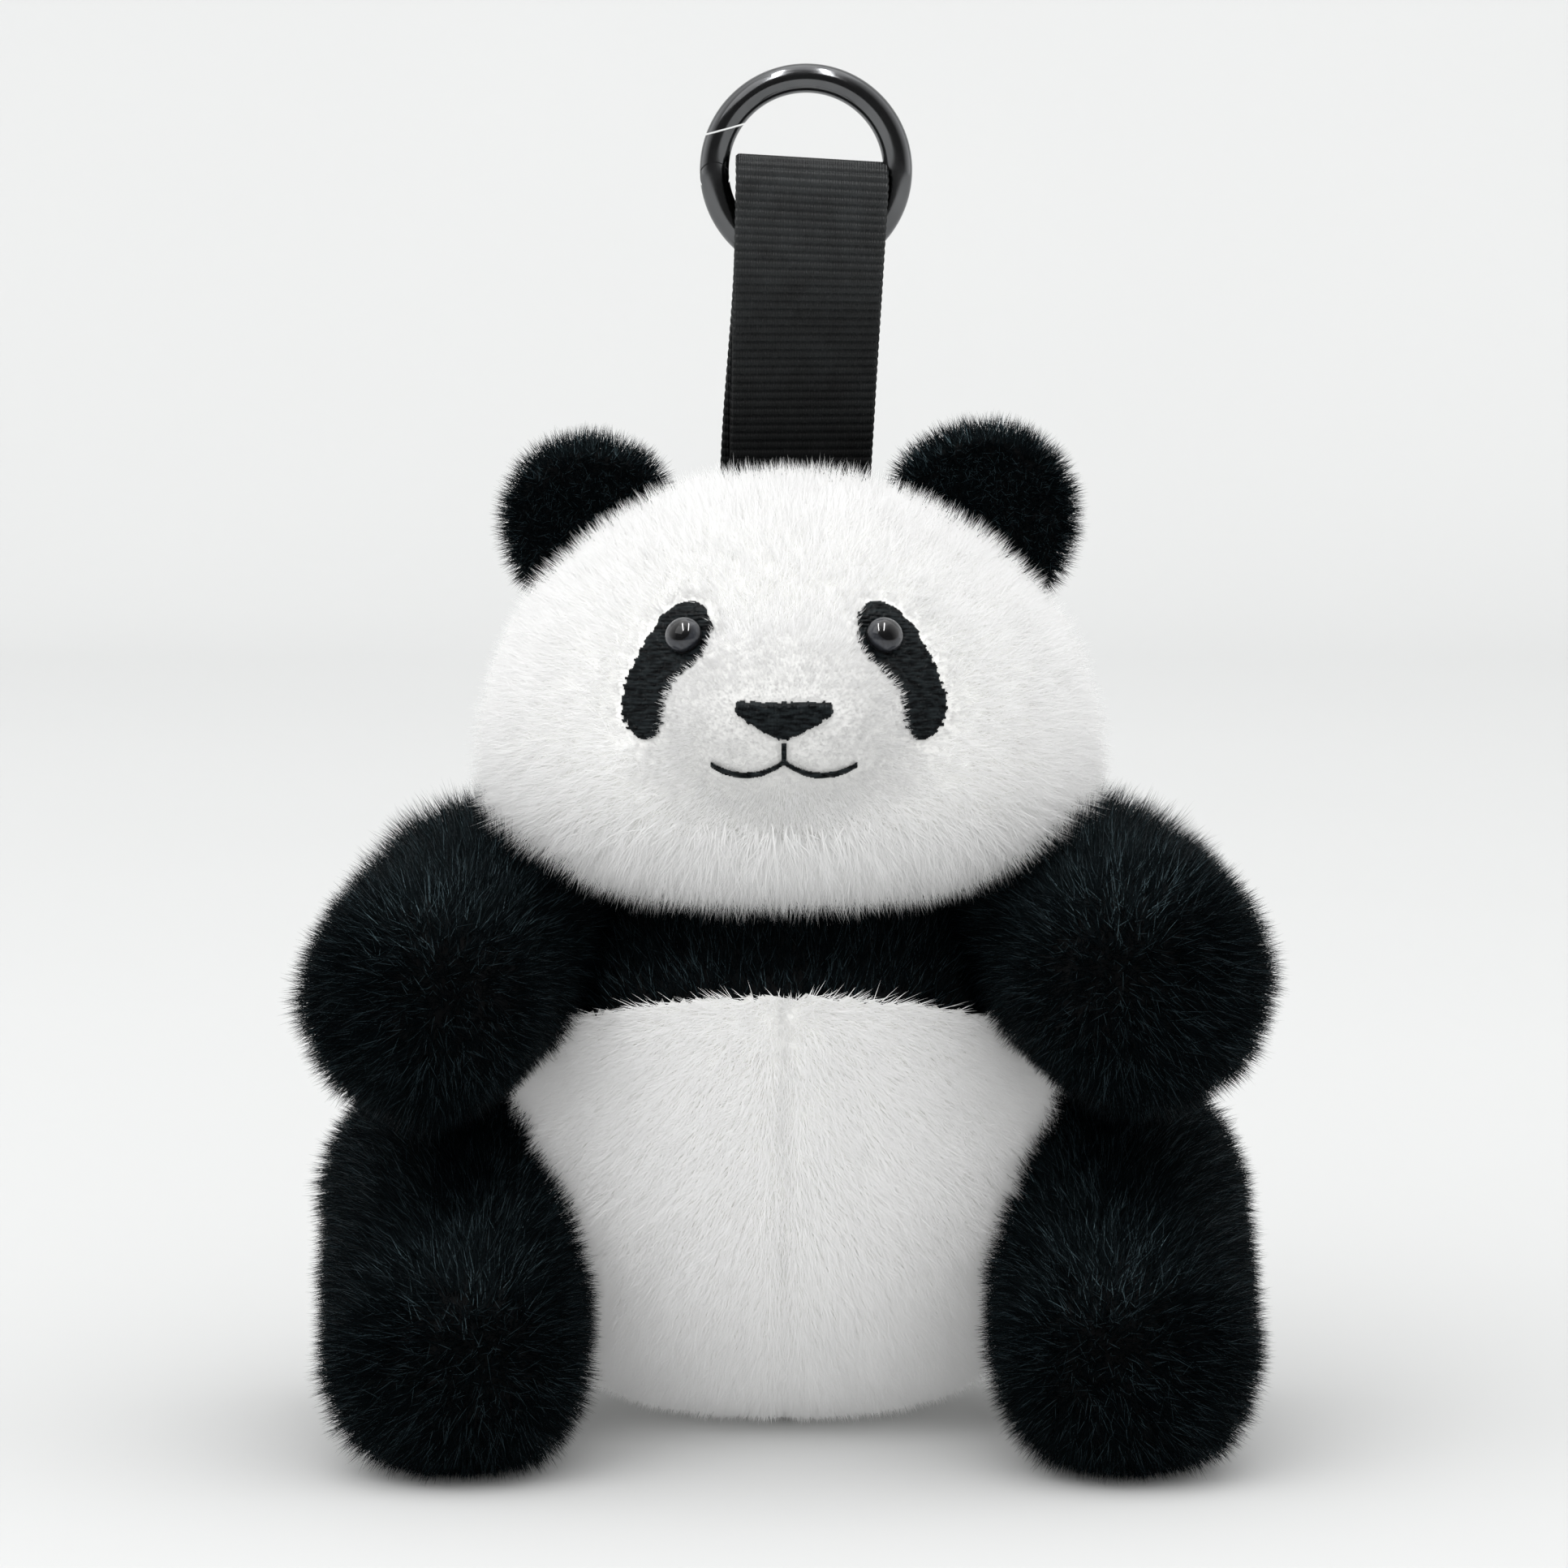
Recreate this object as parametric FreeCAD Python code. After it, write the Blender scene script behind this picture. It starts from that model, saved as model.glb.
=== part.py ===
import FreeCAD, Part

import math
import os

from FreeCAD import Matrix, Placement, Rotation, Vector

# A sitting plush panda bag charm. It has a head, a torso, two arms and two legs of pile
# fabric over fibre stuffing, flat ears, plastic eyes, an embroidered face, and a webbing
# strap on the crown that carries a sprung gate ring.
#
# Frame: +Z up, floor at Z = 0, the toy faces -Y, and its own left side is +X.
# Millimetres. A pile fabric's solid is its backing: the pile itself isn't modelled.

OUT_FOLDER = "parts"
FABRIC = 1.0             # thickness of the pile fabric's backing
GAP = 0.15               # clearance between pieces that lie against each other
REACH = 400.0            # longer than the whole toy, for cutting boxes

# Head: a turned profile, narrowed front to back, with a muzzle bulge.
HEAD_PROFILE = [
    (0.0, 88.0), (14.0, 88.6), (27.0, 91.0), (38.0, 95.3), (44.8, 101.0), (47.0, 108.0),
    (46.0, 117.0), (42.3, 127.5), (36.0, 137.0), (27.4, 145.2), (16.6, 150.6), (0.0, 152.8),
]
HEAD_DEPTH = 0.88
HEAD_CENTRE = Vector(0, 0, 119)
MUZZLE_CENTRE = Vector(0, -30.0, 118.0)
MUZZLE_RADII = (20.5, 18.5, 17.5)
FACE_SEAM_Y = 8.0        # plane of the ear-to-ear seam

# Torso: a turned egg with square shoulders, cut flat at the seat.
TORSO_PROFILE = [
    (14.0, -0.4), (22.0, 2.0), (31.0, 6.8), (38.5, 13.5), (44.0, 22.0), (46.8, 32.0), (47.0, 42.0),
    (45.8, 52.0), (43.8, 61.0), (40.8, 69.5), (35.5, 77.0), (28.0, 82.2), (15.0, 84.6), (0.0, 85.0),
]
TORSO_DEPTH = 0.87
TORSO_Y = 5.0
YOKE_Z = 73.0            # top of the arched seam between the black yoke and the white belly
YOKE_ARCH = 111.0        # radius of that arch, seen from the front
SEAT_SEAM_Z = 3.0
SIDE_SEAM_Y = 6.0

# Neck: the head's gathered underside is a knob that sits in the torso's neck opening, and the
# thread that joins them lies in the round gap between. All three are balls about one centre.
NECK_PIVOT = Vector(0, 3, 93)
NECK_KNOB_RADIUS = 12.0
NECK_OPENING_RADIUS = 14.0
NECK_THREAD_RADIUS = 0.8
NECK_THREAD_ANGLE = 40.0  # of the thread's ring from straight down, seen from the pivot

# Limbs: a ball at the joint, a ball at the tip, and a tangent cone between. Centre and radius
# of each ball are on the +X side; the right limbs are mirrored.
ARM_ROOT, ARM_ROOT_RADIUS = Vector(45.0, 6.0, 80.2), 15.2
ARM_TIP = {"left": (Vector(55.5, -36.0, 77.0), 17.6), "right": (Vector(56.0, -36.5, 74.3), 16.3)}
ARM_AXIS = Vector(-0.8, 0, 0.6)
ARM_SWEEP = (-8, 0, 12, 24, 36)
LEG_ROOT, LEG_ROOT_RADIUS = Vector(54.0, 4.0, 36.0), 18.5
LEG_TIP = {"left": (Vector(54.5, -47.0, 17.4), 17.4), "right": (Vector(52.0, -47.0, 17.4), 17.4)}
LEG_AXIS = Vector(-1, 0, 0)
LEG_SWEEP = (-24, -16, -8, 0, 7, 14)
SOCKET_GAP = 0.7         # room round a limb's ball in the torso, for the limb to swing in
BALL_GAP = 0.65          # the same round the root's ball, so that no two rooms share a surface

# Ears: flat D-shaped lugs in the ear-to-ear seam.
EAR_ROOT = Vector(30.9, FACE_SEAM_Y, 145.0)
EAR_LEAN = 38.0          # degrees from upright, outwards
EAR_SIZE = {"left": (13.4, 16.0), "right": (12.0, 13.6)}   # half width and height
EAR_FILLET = 1.4
EAR_THICKNESS = 3.6

# Eyes
EYE_AT = Vector(15.6, 0, 131.3)
EYE_RADIUS = 3.0
EYE_DOME = 2.3
EYE_BACK = 0.5
POST_RADIUS = 1.0
POST_LENGTH = 7.0
POST_FIT = 0.02          # between the post and its washer
WASHER_RADIUS = 4.0
WASHER_THICKNESS = 0.9
WASHER_DEPTH = 3.6       # of the washer's inner face behind the lens
EYE_STANDS = 0.75        # how far the lens's back stands off the fabric

# Embroidery, as outlines in X and Z seen from the front. It is laid on the face.
STITCH_LAYER = 1.013     # the face scaled by this is the outside of the stitching
PATCH_OUTLINE = [
    (15.0, 137.0), (18.8, 135.2), (22.0, 131.0), (24.7, 125.8), (26.0, 121.0), (24.8, 116.9),
    (21.3, 115.4), (19.6, 117.4), (18.8, 121.3), (16.4, 125.8), (12.9, 129.2), (11.4, 132.9),
    (12.4, 136.0),
]
NOSE_TOP, NOSE_BOTTOM = 122.8, 116.6
NOSE_HALF_WIDTH = 7.9
NOSE_CORNER = 0.4        # sideways slant of the nose's short upper sides
NOSE_SIDE = 1.9          # height of those sides
NOSE_CURVE = (4.3, 1.9)  # a point of its lower curve: from the middle, and above the tip
MOUTH_Z = 113.3
MOUTH_HALF_WIDTH = 11.6
MOUTH_LINE = 1.1
MOUTH_STEM_GAP = 0.25    # between the nose and the line under it
MOUTH_SAG = 2.4          # drop of each mouth curve at its lowest, a little past halfway out
MOUTH_END_DROP = 0.9     # drop of its outer end
FACE_DEPTH = 12.0        # embroidery is laid on the head's front only as far back as this

# Strap
WEB_WIDTH = 24.6
WEB_THICKNESS = 1.3
STRAP_X, STRAP_Y = 3.6, 8.0
STRAP_ROOT_Z = 154.1
STRAP_FLEX_Z = 173.0
STRAP_LEG_GAP = 0.2      # between the two legs of the loop at the crown
STRAP_FLEX_GAP = 1.2     # between them at the upper flex line
STRAP_EYE_GAP = 5.8      # between them at the ring
ANCHOR_DEPTH = 9.0
SLOT_BELOW, SLOT_ABOVE = 3.0, 9.0    # the crown's slot past the sewn-in ends, down and up
FLEX_ROOM = 1.5          # webbing left out below each flex line, for the layers to turn in
TACK_THREAD = 0.25       # radius of the bar tack's thread
TACK_ROWS, TACK_PITCH = 13, 1.8
TACK_HEIGHT = 3.0
TACK_FOOT = 2.0          # from the webbing's end up to the bar tack
SLEEVE_DEPTH = 1.0       # of the straight loop below the ring
WEB_CORNER = 3.0         # rounding of the fold's corners, which lets the gate swing past

# Ring: angles are seen from the front, from +X towards +Z.
RING_CENTRE = Vector(STRAP_X, STRAP_Y, 204.2)
RING_RADIUS = 15.0
WIRE_RADIUS = 2.4
FOLD_BELOW_CENTRE = 2.0
PIN_ANGLE = 184.0
GATE_SIDE_START = 110.0  # end of the ring's arc that the gate's piece is cut from
SECTOR_RADIUS, SECTOR_DEPTH = 40.0, 20.0   # of the blocks that cut arcs out of the ring
NOSE_OUTER, NOSE_INNER = (19.5, 164.0), (10.5, 121.0)   # radius and angle of the nose's line
NOSE_GAP = 0.3
PIN_RADIUS = 0.6
PIN_FIT = 0.03
PIN_COVER = 0.9          # metal left over the pin's front end
TONGUE = 1.6             # thickness of the gate's tongue in the ring's slot
TONGUE_ANGLE = 12.0      # reach of the tongue to each side of the pin
SPRING_ANGLE = PIN_ANGLE - 21.0
SPRING_BORE = (1.2, 2.4)                 # radius and length
SPRING_COIL = (0.8, 0.2, 1.8, 3)         # radius, wire's radius, length and turns

# Tail
TAIL_CENTRE = Vector(0, 46.5, 20.0)
TAIL_RADII = (9.5, 8.0, 8.5)


def largest(shape):
    """The biggest of a cut shape's solids, without the scraps."""
    return max(shape.Solids, key=lambda solid: solid.Volume)


def save(name, shape):
    """Write one node, checked for closed solids."""
    solids = shape.Solids
    if not solids:
        raise RuntimeError(name + " has no solid")
    body = solids[0] if len(solids) == 1 else Part.makeCompound(solids)
    if not body.isValid():
        print("not valid:", name)
    body.exportStep(os.path.join(OUT_FOLDER, name + ".step"))
    print(name, len(solids), round(body.Volume, 1))


def mirrored(shape):
    """The same shape on the other side of the X = 0 plane."""
    return shape.mirror(Vector(0, 0, 0), Vector(1, 0, 0))


def stretched(shape, sx, sy, sz, about=Vector(0, 0, 0)):
    """A shape scaled by a factor along each axis, about a point."""
    matrix = Matrix()
    matrix.scale(sx, sy, sz)
    moved = shape.copy()
    moved.translate(-about)
    moved = moved.transformGeometry(matrix)
    moved.translate(about)
    return moved


def ellipsoid(centre, radii):
    """A solid ellipsoid."""
    ball = stretched(Part.makeSphere(1.0), *radii)
    ball.translate(centre)
    return ball


def half_space(normal, at):
    """A big box whose one face lies on a plane, on the side its normal points to."""
    box = Part.makeBox(2 * REACH, 2 * REACH, REACH, Vector(-REACH, -REACH, 0))
    box.Placement = Placement(at, Rotation(Vector(0, 0, 1), normal))
    return box


def turned(points, depth, centre_y, inset=0.0):
    """A solid turned about Z from an outline of (radius, height), narrowed front to back.

    The inset shrinks it evenly about the middle of its height."""
    low, high = points[0][1], points[-1][1]
    middle, half = (low + high) / 2, (high - low) / 2
    widest = max(radius for radius, _ in points)
    wide, tall = 1 - inset / widest, 1 - inset / half
    outline = [Vector(r * wide, 0, middle + (z - middle) * tall) for r, z in points]
    curve = Part.BSplineCurve()
    curve.interpolate(outline)
    edges = [curve.toShape()]
    start, end = outline[0], outline[-1]
    if start.x > 0:
        edges.insert(0, Part.makeLine(Vector(0, 0, start.z), start))
        start = Vector(0, 0, start.z)
    edges.append(Part.makeLine(end, start))
    solid = Part.Face(Part.Wire(edges)).revolve(Vector(0, 0, 0), Vector(0, 0, 1), 360)
    solid = stretched(Part.Solid(Part.Shell(solid.Faces)), 1, depth, 1)
    solid.translate(Vector(0, centre_y, 0))
    return solid


def drumstick(root, root_radius, tip, tip_radius):
    """A round limb: two balls and the cone tangent to both."""
    axis = tip.sub(root)
    length = axis.Length
    lean = math.asin((root_radius - tip_radius) / length)
    s, c = math.sin(lean), math.cos(lean)

    def at(centre, radius, angle):
        return Vector(radius * math.cos(angle), 0, centre + radius * math.sin(angle))

    start, top = Vector(0, 0, -root_radius), Vector(0, 0, length + tip_radius)
    join_root = Vector(root_radius * c, 0, root_radius * s)
    join_tip = Vector(tip_radius * c, 0, length + tip_radius * s)
    edges = [
        Part.Arc(start, at(0, root_radius, -math.pi / 8), join_root).toShape(),
        Part.makeLine(join_root, join_tip),
        Part.Arc(join_tip, at(length, tip_radius, math.pi / 3), top).toShape(),
        Part.makeLine(top, start),
    ]
    solid = Part.Face(Part.Wire(edges)).revolve(Vector(0, 0, 0), Vector(0, 0, 1), 360)
    solid = Part.Solid(Part.Shell(solid.Faces))
    solid.Placement = Placement(root, Rotation(Vector(0, 0, 1), axis))
    return solid


def swung(shape, pivot, axis, degrees):
    """A shape turned about a hinge through a point."""
    moved = shape.copy()
    moved.rotate(pivot, axis, degrees)
    return moved


def limb(root, root_radius, tip, tip_radius):
    """The two fabric panels and the stuffing of one limb on the +X side."""
    outer = drumstick(root, root_radius, tip, tip_radius)
    inner = drumstick(root, root_radius - FABRIC, tip, tip_radius - FABRIC)
    stuffing = drumstick(root, root_radius - FABRIC - GAP, tip, tip_radius - FABRIC - GAP)
    shell = outer.cut(inner)
    along = tip.sub(root)
    side = along.cross(Vector(0, 0, 1)).normalize()
    if side.x < 0:
        side = side.negative()
    outside = shell.common(half_space(side, root))
    inside = shell.common(half_space(side.negative(), root))
    return outside, inside, stuffing


def swept_room(root, root_radius, tip, tip_radius, axis, angles):
    """The space that a limb fills as it swings, with clearance, as a list of solids."""
    ball = Part.makeSphere(root_radius + SOCKET_GAP, root)
    beam = drumstick(root, root_radius + BALL_GAP, tip, tip_radius + SOCKET_GAP)
    return [ball] + [swung(beam, root, axis, a) for a in angles]


def flip_x(point):
    return Vector(-point.x, point.y, point.z)


def on_face(x, z, face):
    """The point where a line along Y from the front meets the face."""
    ray = Part.makeLine(Vector(x, -REACH, z), Vector(x, 0, z))
    hits = [v.Point for v in ray.common(face).Vertexes]
    return min(hits, key=lambda p: p.y)


def face_normal(x, z, face, step=1.5):
    """The outward direction of the face at a point, from its neighbours."""
    along_x = on_face(x + step, z, face).sub(on_face(x - step, z, face))
    along_z = on_face(x, z + step, face).sub(on_face(x, z - step, face))
    return along_x.cross(along_z).normalize()


def prism(wire):
    """A flat outline in the XZ plane, carried through the front half of the head."""
    face = Part.Face(wire)
    face.translate(Vector(0, -REACH / 4, 0))
    return face.extrude(Vector(0, REACH / 4 - FACE_DEPTH, 0))


def closed_curve(points):
    """A closed smooth outline through (x, z) points."""
    curve = Part.BSplineCurve()
    curve.interpolate([Vector(x, 0, z) for x, z in points], PeriodicFlag=True)
    return Part.Wire([curve.toShape()])


def nose_wire():
    """A wide rounded triangle, flat side up."""
    w, top = NOSE_HALF_WIDTH, NOSE_TOP
    shoulder = top - NOSE_SIDE
    flat = w - NOSE_CORNER
    tip = Vector(0, 0, NOSE_BOTTOM)
    out, rise = NOSE_CURVE
    return Part.Wire([
        Part.makeLine(Vector(-flat, 0, top), Vector(flat, 0, top)),
        Part.makeLine(Vector(flat, 0, top), Vector(w, 0, shoulder)),
        Part.Arc(Vector(w, 0, shoulder), tip + Vector(out, 0, rise), tip).toShape(),
        Part.Arc(tip, tip + Vector(-out, 0, rise), Vector(-w, 0, shoulder)).toShape(),
        Part.makeLine(Vector(-w, 0, shoulder), Vector(-flat, 0, top)),
    ])


def mouth_solid():
    """The line under the nose and the two curves of the mouth, as one flat prism."""
    half = MOUTH_LINE / 2
    stem_top = NOSE_BOTTOM - MOUTH_STEM_GAP
    stem = Part.makePolygon([
        Vector(-half, 0, stem_top), Vector(half, 0, stem_top),
        Vector(half, 0, MOUTH_Z), Vector(-half, 0, MOUTH_Z), Vector(-half, 0, stem_top),
    ])
    w = MOUTH_HALF_WIDTH
    upper, lower = MOUTH_Z + half, MOUTH_Z - half

    def end(z):
        return Vector(w, 0, z - MOUTH_END_DROP)

    def sweep(z):
        return Part.Arc(Vector(0, 0, z), Vector(w * 0.55, 0, z - MOUTH_SAG), end(z)).toShape()

    side = Part.Wire([
        sweep(upper),
        Part.makeLine(end(upper), end(lower)),
        sweep(lower),
        Part.makeLine(Vector(0, 0, lower), Vector(0, 0, upper)),
    ])
    right = prism(side)
    return prism(stem).fuse([right, mirrored(right)])


def head_solid(inset):
    """The whole head with its muzzle and its neck knob, shrunk evenly by the inset."""
    muzzle = ellipsoid(MUZZLE_CENTRE, [r - inset for r in MUZZLE_RADII])
    knob = Part.makeSphere(NECK_KNOB_RADIUS - inset, NECK_PIVOT)
    return turned(HEAD_PROFILE, HEAD_DEPTH, 0, inset).fuse([muzzle, knob])


def build_head():
    """The head's fabric, stuffing, eyes and embroidery."""
    skin = head_solid(0.0)
    shell = skin.cut(head_solid(FABRIC))
    stuffing = head_solid(FABRIC + GAP)

    front = half_space(Vector(0, -1, 0), Vector(0, FACE_SEAM_Y, 0))
    back = half_space(Vector(0, 1, 0), Vector(0, FACE_SEAM_Y, 0))
    toy_left = half_space(Vector(1, 0, 0), Vector(0, 0, 0))
    toy_right = half_space(Vector(-1, 0, 0), Vector(0, 0, 0))

    slot_width = WEB_WIDTH + 2 * GAP
    slot_depth = STRAP_LEG_GAP + 2 * (WEB_THICKNESS + 2 * TACK_THREAD + GAP)
    slot = Part.makeBox(
        slot_width, slot_depth, SLOT_BELOW + ANCHOR_DEPTH + SLOT_ABOVE,
        Vector(STRAP_X - slot_width / 2, STRAP_Y - slot_depth / 2,
               STRAP_ROOT_Z - ANCHOR_DEPTH - SLOT_BELOW))
    shell = shell.cut(slot)
    stuffing = stuffing.cut(slot)

    layer = stretched(skin, STITCH_LAYER, STITCH_LAYER, STITCH_LAYER, HEAD_CENTRE).cut(skin)
    patch = layer.common(prism(closed_curve(PATCH_OUTLINE)))
    nose = layer.common(prism(nose_wire()))
    mouth = layer.common(mouth_solid())

    at = on_face(EYE_AT.x, EYE_AT.z, skin)
    out = face_normal(EYE_AT.x, EYE_AT.z, skin)
    place_eye = Placement(at + out * EYE_STANDS, Rotation(Vector(0, 0, 1), out))

    def disc(radius, low, thickness):
        """A disc about the post's line; low is its inner face, from the lens's back."""
        return Part.makeCylinder(radius, thickness, Vector(0, 0, low))

    bore = disc(POST_RADIUS + GAP, -POST_LENGTH - 1.0, 2 * POST_LENGTH)
    seat = disc(EYE_RADIUS + GAP, -GAP, 2 * EYE_STANDS)
    washer_room = disc(WASHER_RADIUS + GAP, -WASHER_DEPTH - 0.5, WASHER_THICKNESS + 1.2)
    post = disc(EYE_RADIUS - 0.1, 0, EYE_BACK).fuse(disc(POST_RADIUS, -POST_LENGTH, POST_LENGTH))
    dome = stretched(Part.makeSphere(EYE_RADIUS), 1, 1, EYE_DOME / EYE_RADIUS)
    dome = dome.common(half_space(Vector(0, 0, 1), Vector(0, 0, 0)))
    dome.translate(Vector(0, 0, EYE_BACK))
    washer = disc(WASHER_RADIUS, -WASHER_DEPTH, WASHER_THICKNESS)
    washer = washer.cut(disc(POST_RADIUS + POST_FIT, -POST_LENGTH, POST_LENGTH))
    for piece in (bore, seat, washer_room, post, dome, washer):
        piece.Placement = place_eye.multiply(piece.Placement)

    for hole in (bore, mirrored(bore), seat, mirrored(seat)):
        shell = shell.cut(hole)
    for hole in (bore, mirrored(bore), washer_room, mirrored(washer_room)):
        stuffing = stuffing.cut(hole)
    patch = patch.cut(bore).cut(seat)

    save("face_left_panel", shell.common(front).common(toy_left))
    save("face_right_panel", shell.common(front).common(toy_right))
    save("head_back_panel", shell.common(back))
    save("head_stuffing", stuffing)
    save("nose_embroidery", nose)
    save("mouth_embroidery", mouth)
    for side, place in (("left", lambda s: s), ("right", mirrored)):
        save("eye_" + side + "_patch", place(patch))
        save("eye_" + side + "_lens", place(dome))
        save("eye_" + side + "_post", place(post))
        save("eye_" + side + "_washer", place(washer))


def ear(half_width, height):
    """The front and back panel of a flat lug, rounded at the root so that it can fold there."""
    root_radius = EAR_THICKNESS / 2
    lug = Part.makeCylinder(1.0, EAR_THICKNESS, Vector(0, root_radius, 0), Vector(0, -1, 0))
    lug = stretched(lug, half_width, 1, height)
    lug = lug.common(half_space(Vector(0, 0, 1), Vector(0, 0, 0)))
    rim = [edge for edge in lug.Edges if edge.BoundBox.ZMax > height - EAR_FILLET / 2]
    lug = lug.makeFillet(EAR_FILLET, rim)
    half_bead = half_width - EAR_FILLET
    bead = Part.makeCylinder(
        root_radius, 2 * half_bead, Vector(-half_bead, 0, 0), Vector(1, 0, 0))
    lug = lug.fuse(bead)
    panels = []
    for facing in (Vector(0, -1, 0), Vector(0, 1, 0)):
        panel = lug.common(half_space(facing, Vector(0, 0, 0)))
        panel.rotate(Vector(0, 0, 0), Vector(0, 1, 0), EAR_LEAN)
        panel.translate(EAR_ROOT)
        panels.append(panel)
    return panels


def build_ears():
    """Both ears. The left one is a little bigger."""
    front, back = ear(*EAR_SIZE["left"])
    save("ear_left_front", front)
    save("ear_left_back", back)
    front, back = ear(*EAR_SIZE["right"])
    save("ear_right_front", mirrored(front))
    save("ear_right_back", mirrored(back))


def flip_axis(axis):
    """A hinge axis on the other side, so that the same angle is the mirrored swing."""
    return Vector(axis.x, -axis.y, -axis.z)


def torso_rooms():
    """The spaces that the four limbs and the neck need in the torso."""
    rooms = [Part.makeSphere(NECK_OPENING_RADIUS, NECK_PIVOT)]
    for root, root_radius, tips, axis, sweep in (
            (ARM_ROOT, ARM_ROOT_RADIUS, ARM_TIP, ARM_AXIS, ARM_SWEEP),
            (LEG_ROOT, LEG_ROOT_RADIUS, LEG_TIP, LEG_AXIS, LEG_SWEEP)):
        rooms += swept_room(root, root_radius, *tips["left"], axis, sweep)
        tip, tip_radius = tips["right"]
        rooms += swept_room(flip_x(root), root_radius, flip_x(tip), tip_radius,
                            flip_axis(axis), sweep)
    return rooms


def torso_solid(inset):
    """The whole torso, shrunk evenly by the inset, with its seat cut flat."""
    flat = half_space(Vector(0, 0, 1), Vector(0, 0, inset))
    return turned(TORSO_PROFILE, TORSO_DEPTH, TORSO_Y, inset).common(flat)


def build_torso():
    """The torso's panels and stuffing, with room for the limbs, and the neck's thread."""
    skin = torso_solid(0.0)
    shell = skin.cut(torso_solid(FABRIC))
    stuffing = torso_solid(FABRIC + GAP)
    for room in torso_rooms():
        shell = shell.cut(room)
        stuffing = stuffing.cut(room)

    below = Part.makeCylinder(YOKE_ARCH, 2 * REACH, Vector(0, -REACH, YOKE_Z - YOKE_ARCH),
                              Vector(0, 1, 0))
    yoke = shell.cut(below)
    front = half_space(Vector(0, -1, 0), Vector(0, SIDE_SEAM_Y, 0))
    back = half_space(Vector(0, 1, 0), Vector(0, SIDE_SEAM_Y, 0))
    base = half_space(Vector(0, 0, -1), Vector(0, 0, SEAT_SEAM_Z))
    lifted = half_space(Vector(0, 0, 1), Vector(0, 0, SEAT_SEAM_Z))
    toy_left = half_space(Vector(1, 0, 0), Vector(0, 0, 0))
    toy_right = half_space(Vector(-1, 0, 0), Vector(0, 0, 0))

    middle = shell.common(below).common(lifted)
    belly = middle.common(front)
    save("yoke_front_panel", largest(yoke.common(front)))
    save("yoke_back_panel", largest(yoke.common(back)))
    save("belly_left_panel", largest(belly.common(toy_left)))
    save("belly_right_panel", largest(belly.common(toy_right)))
    save("rump_panel", largest(middle.common(back)))
    save("seat_panel", largest(shell.common(base)))
    save("torso_stuffing", largest(stuffing))

    angle = math.radians(NECK_THREAD_ANGLE)
    middle_radius = (NECK_KNOB_RADIUS + NECK_OPENING_RADIUS) / 2
    centre = NECK_PIVOT - Vector(0, 0, middle_radius * math.cos(angle))
    save("neck_gather_thread", Part.makeTorus(
        middle_radius * math.sin(angle), NECK_THREAD_RADIUS, centre))
    return skin


def build_limbs():
    """Arms and legs, each of an outer and an inner panel round its stuffing."""
    kinds = (
        ("arm", ARM_ROOT, ARM_ROOT_RADIUS, ARM_TIP),
        ("leg", LEG_ROOT, LEG_ROOT_RADIUS, LEG_TIP),
    )
    for kind, root, root_radius, tips in kinds:
        for side, place in (("left", lambda s: s), ("right", mirrored)):
            outside, inside, stuffing = limb(root, root_radius, *tips[side])
            save(kind + "_" + side + "_outer_panel", place(outside))
            save(kind + "_" + side + "_inner_panel", place(inside))
            save(kind + "_" + side + "_stuffing", place(stuffing))


def build_tail(torso_skin):
    """A small stuffed tail on the back."""
    grown = stretched(torso_skin, 1.003, 1.003, 1.0, Vector(0, TORSO_Y, 0))
    outer = ellipsoid(TAIL_CENTRE, TAIL_RADII)
    inner = ellipsoid(TAIL_CENTRE, [r - FABRIC for r in TAIL_RADII])
    core = ellipsoid(TAIL_CENTRE, [r - FABRIC - GAP for r in TAIL_RADII])
    save("tail_cover", outer.cut(inner).cut(grown))
    save("tail_stuffing", core.cut(grown))


def web_profile(low_gap, high_gap, low, high):
    """One leg of the webbing loop seen from the side, front leg, as a closed wire."""
    inner_low, inner_high = -low_gap / 2, -high_gap / 2
    t = WEB_THICKNESS
    return Part.makePolygon([
        Vector(0, inner_low, low), Vector(0, inner_low - t, low),
        Vector(0, inner_high - t, high), Vector(0, inner_high, high), Vector(0, inner_low, low),
    ])


def web(wire):
    """A side outline carried across the webbing's width, centred on the strap."""
    solid = Part.Face(wire).extrude(Vector(WEB_WIDTH, 0, 0))
    solid.translate(Vector(STRAP_X - WEB_WIDTH / 2, STRAP_Y, 0))
    return solid


def other_leg(solid):
    return solid.mirror(Vector(0, STRAP_Y, 0), Vector(0, 1, 0))


def build_strap():
    """The webbing: its sewn-in ends and their bar tack, the lower part, and the upper loop."""
    anchor_low, anchor_top = STRAP_ROOT_Z - ANCHOR_DEPTH, STRAP_ROOT_Z - FLEX_ROOM
    tail = web(web_profile(STRAP_LEG_GAP, STRAP_LEG_GAP, anchor_low, anchor_top))
    save("strap_anchor", Part.makeCompound([tail, other_leg(tail)]))

    stitches = []
    y = STRAP_LEG_GAP / 2 + WEB_THICKNESS + TACK_THREAD
    for row in range(TACK_ROWS):
        x = STRAP_X + (row - (TACK_ROWS - 1) / 2) * TACK_PITCH
        for offset in (-y, y):
            stitches.append(Part.makeCylinder(
                TACK_THREAD, TACK_HEIGHT, Vector(x, STRAP_Y + offset, anchor_low + TACK_FOOT)))
    save("strap_bartack", Part.makeCompound(stitches))

    lower_top = STRAP_FLEX_Z - FLEX_ROOM
    low = web(web_profile(STRAP_LEG_GAP, STRAP_FLEX_GAP, STRAP_ROOT_Z, lower_top))
    save("strap_lower", Part.makeCompound([low, other_leg(low)]))

    save("strap_upper", upper_loop())


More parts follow.
